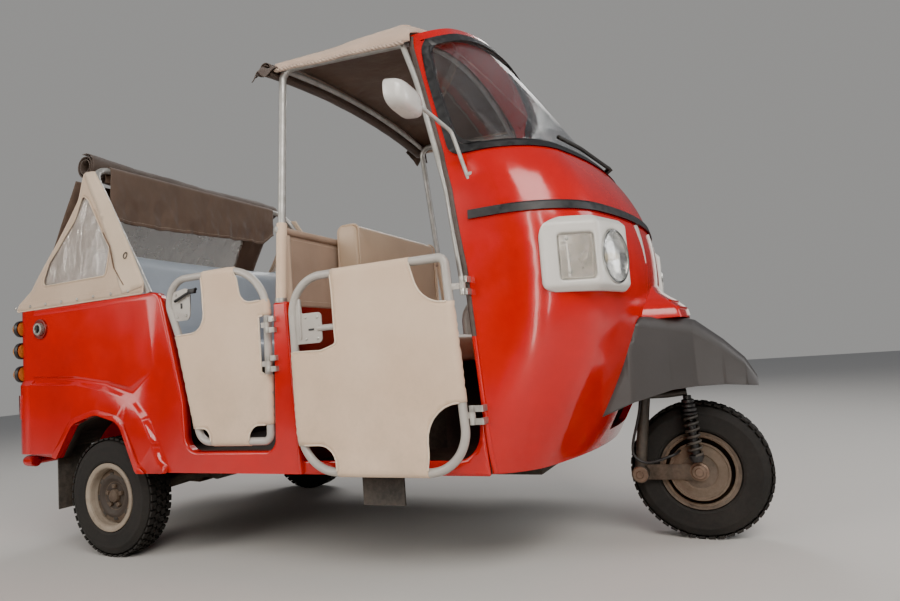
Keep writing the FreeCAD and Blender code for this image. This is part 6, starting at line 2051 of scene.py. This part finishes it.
def darkenArch(piece, side):
    # faces inside a rear wheel arch get the black underbody finish in place of the paint
    piece.data.materials.append(finish["underbody"])
    axle = Vector((at(vehicle["wheelbase"]), vehicle["axleHeight"]))
    for polygon in piece.data.polygons:
        middle = polygon.center
        near = (Vector((middle.x, middle.z)) - axle).length < arch["radius"]
        if near and middle.y * side < arch["depth"] and polygon.normal.y * side < arch["turn"]:
            polygon.material_index = 1


def dressNodes():
    for node, finishName, body, angle in dress:
        skin = skinOf(node, finishName, angle)
        if node.startswith("side_panel"):
            darkenArch(skin, 1 if node.endswith("left") else -1)
        show(skin, body, node)


screen = {
    # corners seen from the side: station, height, the directions of both edges away from it, rounding
    "outerTop": ((0.6288, 1.5767), ((-0.209, -0.978), (-0.913, 0.408)), 0.078),
    "innerTop": ((0.6, 1.549), ((-0.207, -0.978), (-0.938, 0.347)), 0.062),
    "innerLow": ((0.499, 1.189), ((-1.0, 0.0), (0.271, 0.962)), 0.092),
    "margin": 0.06,
    "across": (0.3, 0.8),  # the blocks' reach, away from the middle
    "sideways": (0.1, 0.975, 0.19),  # the cab's outward direction at those corners: forward, aside, up
    "gasketProud": 0.005,
    "glassInset": 0.006,
}


def cornerBlock(name, corner, side):
    # everything past the rounding of one corner, as a block across one side of the cab
    spot, (first, second), radius = corner
    vertex, a, b = Vector(spot), Vector(first).normalized(), Vector(second).normalized()
    inward = (a + b).normalized()
    middle = vertex + inward * (radius / math.sin(a.angle(b) / 2))
    arc = roundedLine(((*(vertex + a), 0), (*vertex, radius), (*(vertex + b), 0)), False, 12)[1:-1]
    margin = screen["margin"]
    beside, beyond = [p + (p - middle).normalized() * margin for p in (arc[0], arc[-1])]
    outline = arc + [beyond, vertex - inward * margin * 2.2, beside]
    points = [(at(s), side * y, z) for y in screen["across"] for s, z in outline]
    count = len(outline)
    faces = [tuple(range(count)), tuple(range(2 * count - 1, count - 1, -1))]
    faces += [(k, (k + 1) % count, count + (k + 1) % count, count + k) for k in range(count)]
    return outward(meshPiece(name, points, faces))


def carved(piece, tool, operation):
    change = piece.modifiers.new("carve", "BOOLEAN")
    change.operation = operation
    change.object = tool
    change.solver = "EXACT"
    baked(piece)
    return outward(piece)


def makeScreenEdge():
    # the gasket with rounded corners; red fills the cut outer corners and rubber the inner ones
    gasket = skinOf("windscreen_gasket", "gasket", 40)
    fills = []
    for side in (-1, 1):
        direction = Vector(screen["sideways"])
        direction.y *= side
        direction.normalize()
        block = cornerBlock("outerBlock", screen["outerTop"], side)
        patch = carved(skinOf("windscreen_gasket", "redPaint", 40, "cornerPatch"), block, "INTERSECT")
        patch.data.transform(Matrix.Translation(-direction * screen["gasketProud"]))
        fills.append(patch)
        carved(gasket, block, "DIFFERENCE")
        bpy.data.objects.remove(block)
        for key in ("innerTop", "innerLow"):
            block = cornerBlock("innerBlock", screen[key], side)
            plate = carved(skinOf("windscreen", "gasket", 40, "cornerPlate"), block, "INTERSECT")
            bpy.data.objects.remove(block)
            lift = screen["gasketProud"] + screen["glassInset"] - 0.0005
            plate.data.transform(Matrix.Translation(direction * lift))
            fills.append(plate)
        print("screen corners", side, [len(piece.data.polygons) for piece in fills])
    for piece in fills:
        piece.data.materials.clear()
        piece.data.materials.append(finish["redPaint" if piece.name.startswith("cornerPatch") else "gasket"])
    show(evened(gasket, 40), "body", "windscreen_gasket")
    show(evened(joined("screen_corners", fills), 40), "body")


edging = {
    # station and height of the cab's rear edge
    "edge": ((0.456, 0.3), (0.487, 0.835), (0.52, 1.064), (0.622, 1.431), (0.655, 1.55), (0.659, 1.6)),
    "heights": (0.303, 0.02, 65),  # first, pitch, count
    # height where the red lip turns into the dark band of painted reflection
    "change": 0.66,
    "halfWidth": 0.0085,
    "inset": 0.0085,
    "proud": 0.0125,
    "sill": ((1.108, 0.297, 0.004), (0.463, 0.297, 0.004), (0.4705, 0.43, 0.004), (0.4815, 0.43, 0.006),
             (0.49, 0.336, 0.075),
             (1.108, 0.336, 0.004)),
    "sillY": 0.6,
}


def makeEdging():
    # the folded lip down the cab's rear edge, red low down and above the change height a dark brown band, a painted
    # dark reflection on the red flange; and the red sill under the doorway
    pieces = []
    surface = treeOf(nodes["cab_shell"])
    for side in (-1, 1):
        rows = {"low": [], "high": []}
        edge = [(z, station) for station, z in edging["edge"]]
        first, pitch, count = edging["heights"]
        heights = sorted({round(first + pitch * k, 4) for k in range(count)} | {edging["change"]})
        for z in heights:
            station = between(edge, z)
            hit = surface.ray_cast(Vector((at(station - 0.003), side * 0.9, z)), Vector((0, -side, 0)))[0]
            slope = (between(edge, z + 0.01) - between(edge, z - 0.01)) / 0.02
            forward = Vector((1, 0, slope)).normalized()
            middle = Vector((at(station), side * (abs(hit.y) - edging["inset"]), z)) + forward * 0.002
            row = (middle, forward * edging["halfWidth"], Vector((0, side * edging["proud"], 0)))
            if z <= edging["change"]:
                rows["low"].append(row)
            if z >= edging["change"]:
                rows["high"].append(row)
        pieces.append(bandAlong("cabLip", rows["low"], finish["redPaint"]))
        # above the change height: painted dark reflection on the red flange
        pieces.append(bandAlong("cabLipDarkReflection", rows["high"], finish["edgeSeal"]))
        outline = roundedLine(edging["sill"], True, 14)
        plate = flatPanel("doorSill", outline, [], 0.012, lambda u, v, side=side: (at(u), side * edging["sillY"], v),
                          finish["redPaint"], 0.008)
        pieces.append(plate)
    show(joined("doorway_edges", pieces), "body")


makeBeads()
makeRing()
makeRope()
makeCamera()
makeStudio()
dressNodes()
print("rigid pieces", len(dress))
makeWheels()
makeShock()
makeHose()
makeDoors()
makePods()
makeNose()
makeMirrors()
makeSmallTrim()
makeControls()
makeScreenEdge()
makeEdging()
print("cab details made")
makeHood()
makeCanopy()
makePartition()
makeSeats()
bpy.context.view_layer.update()
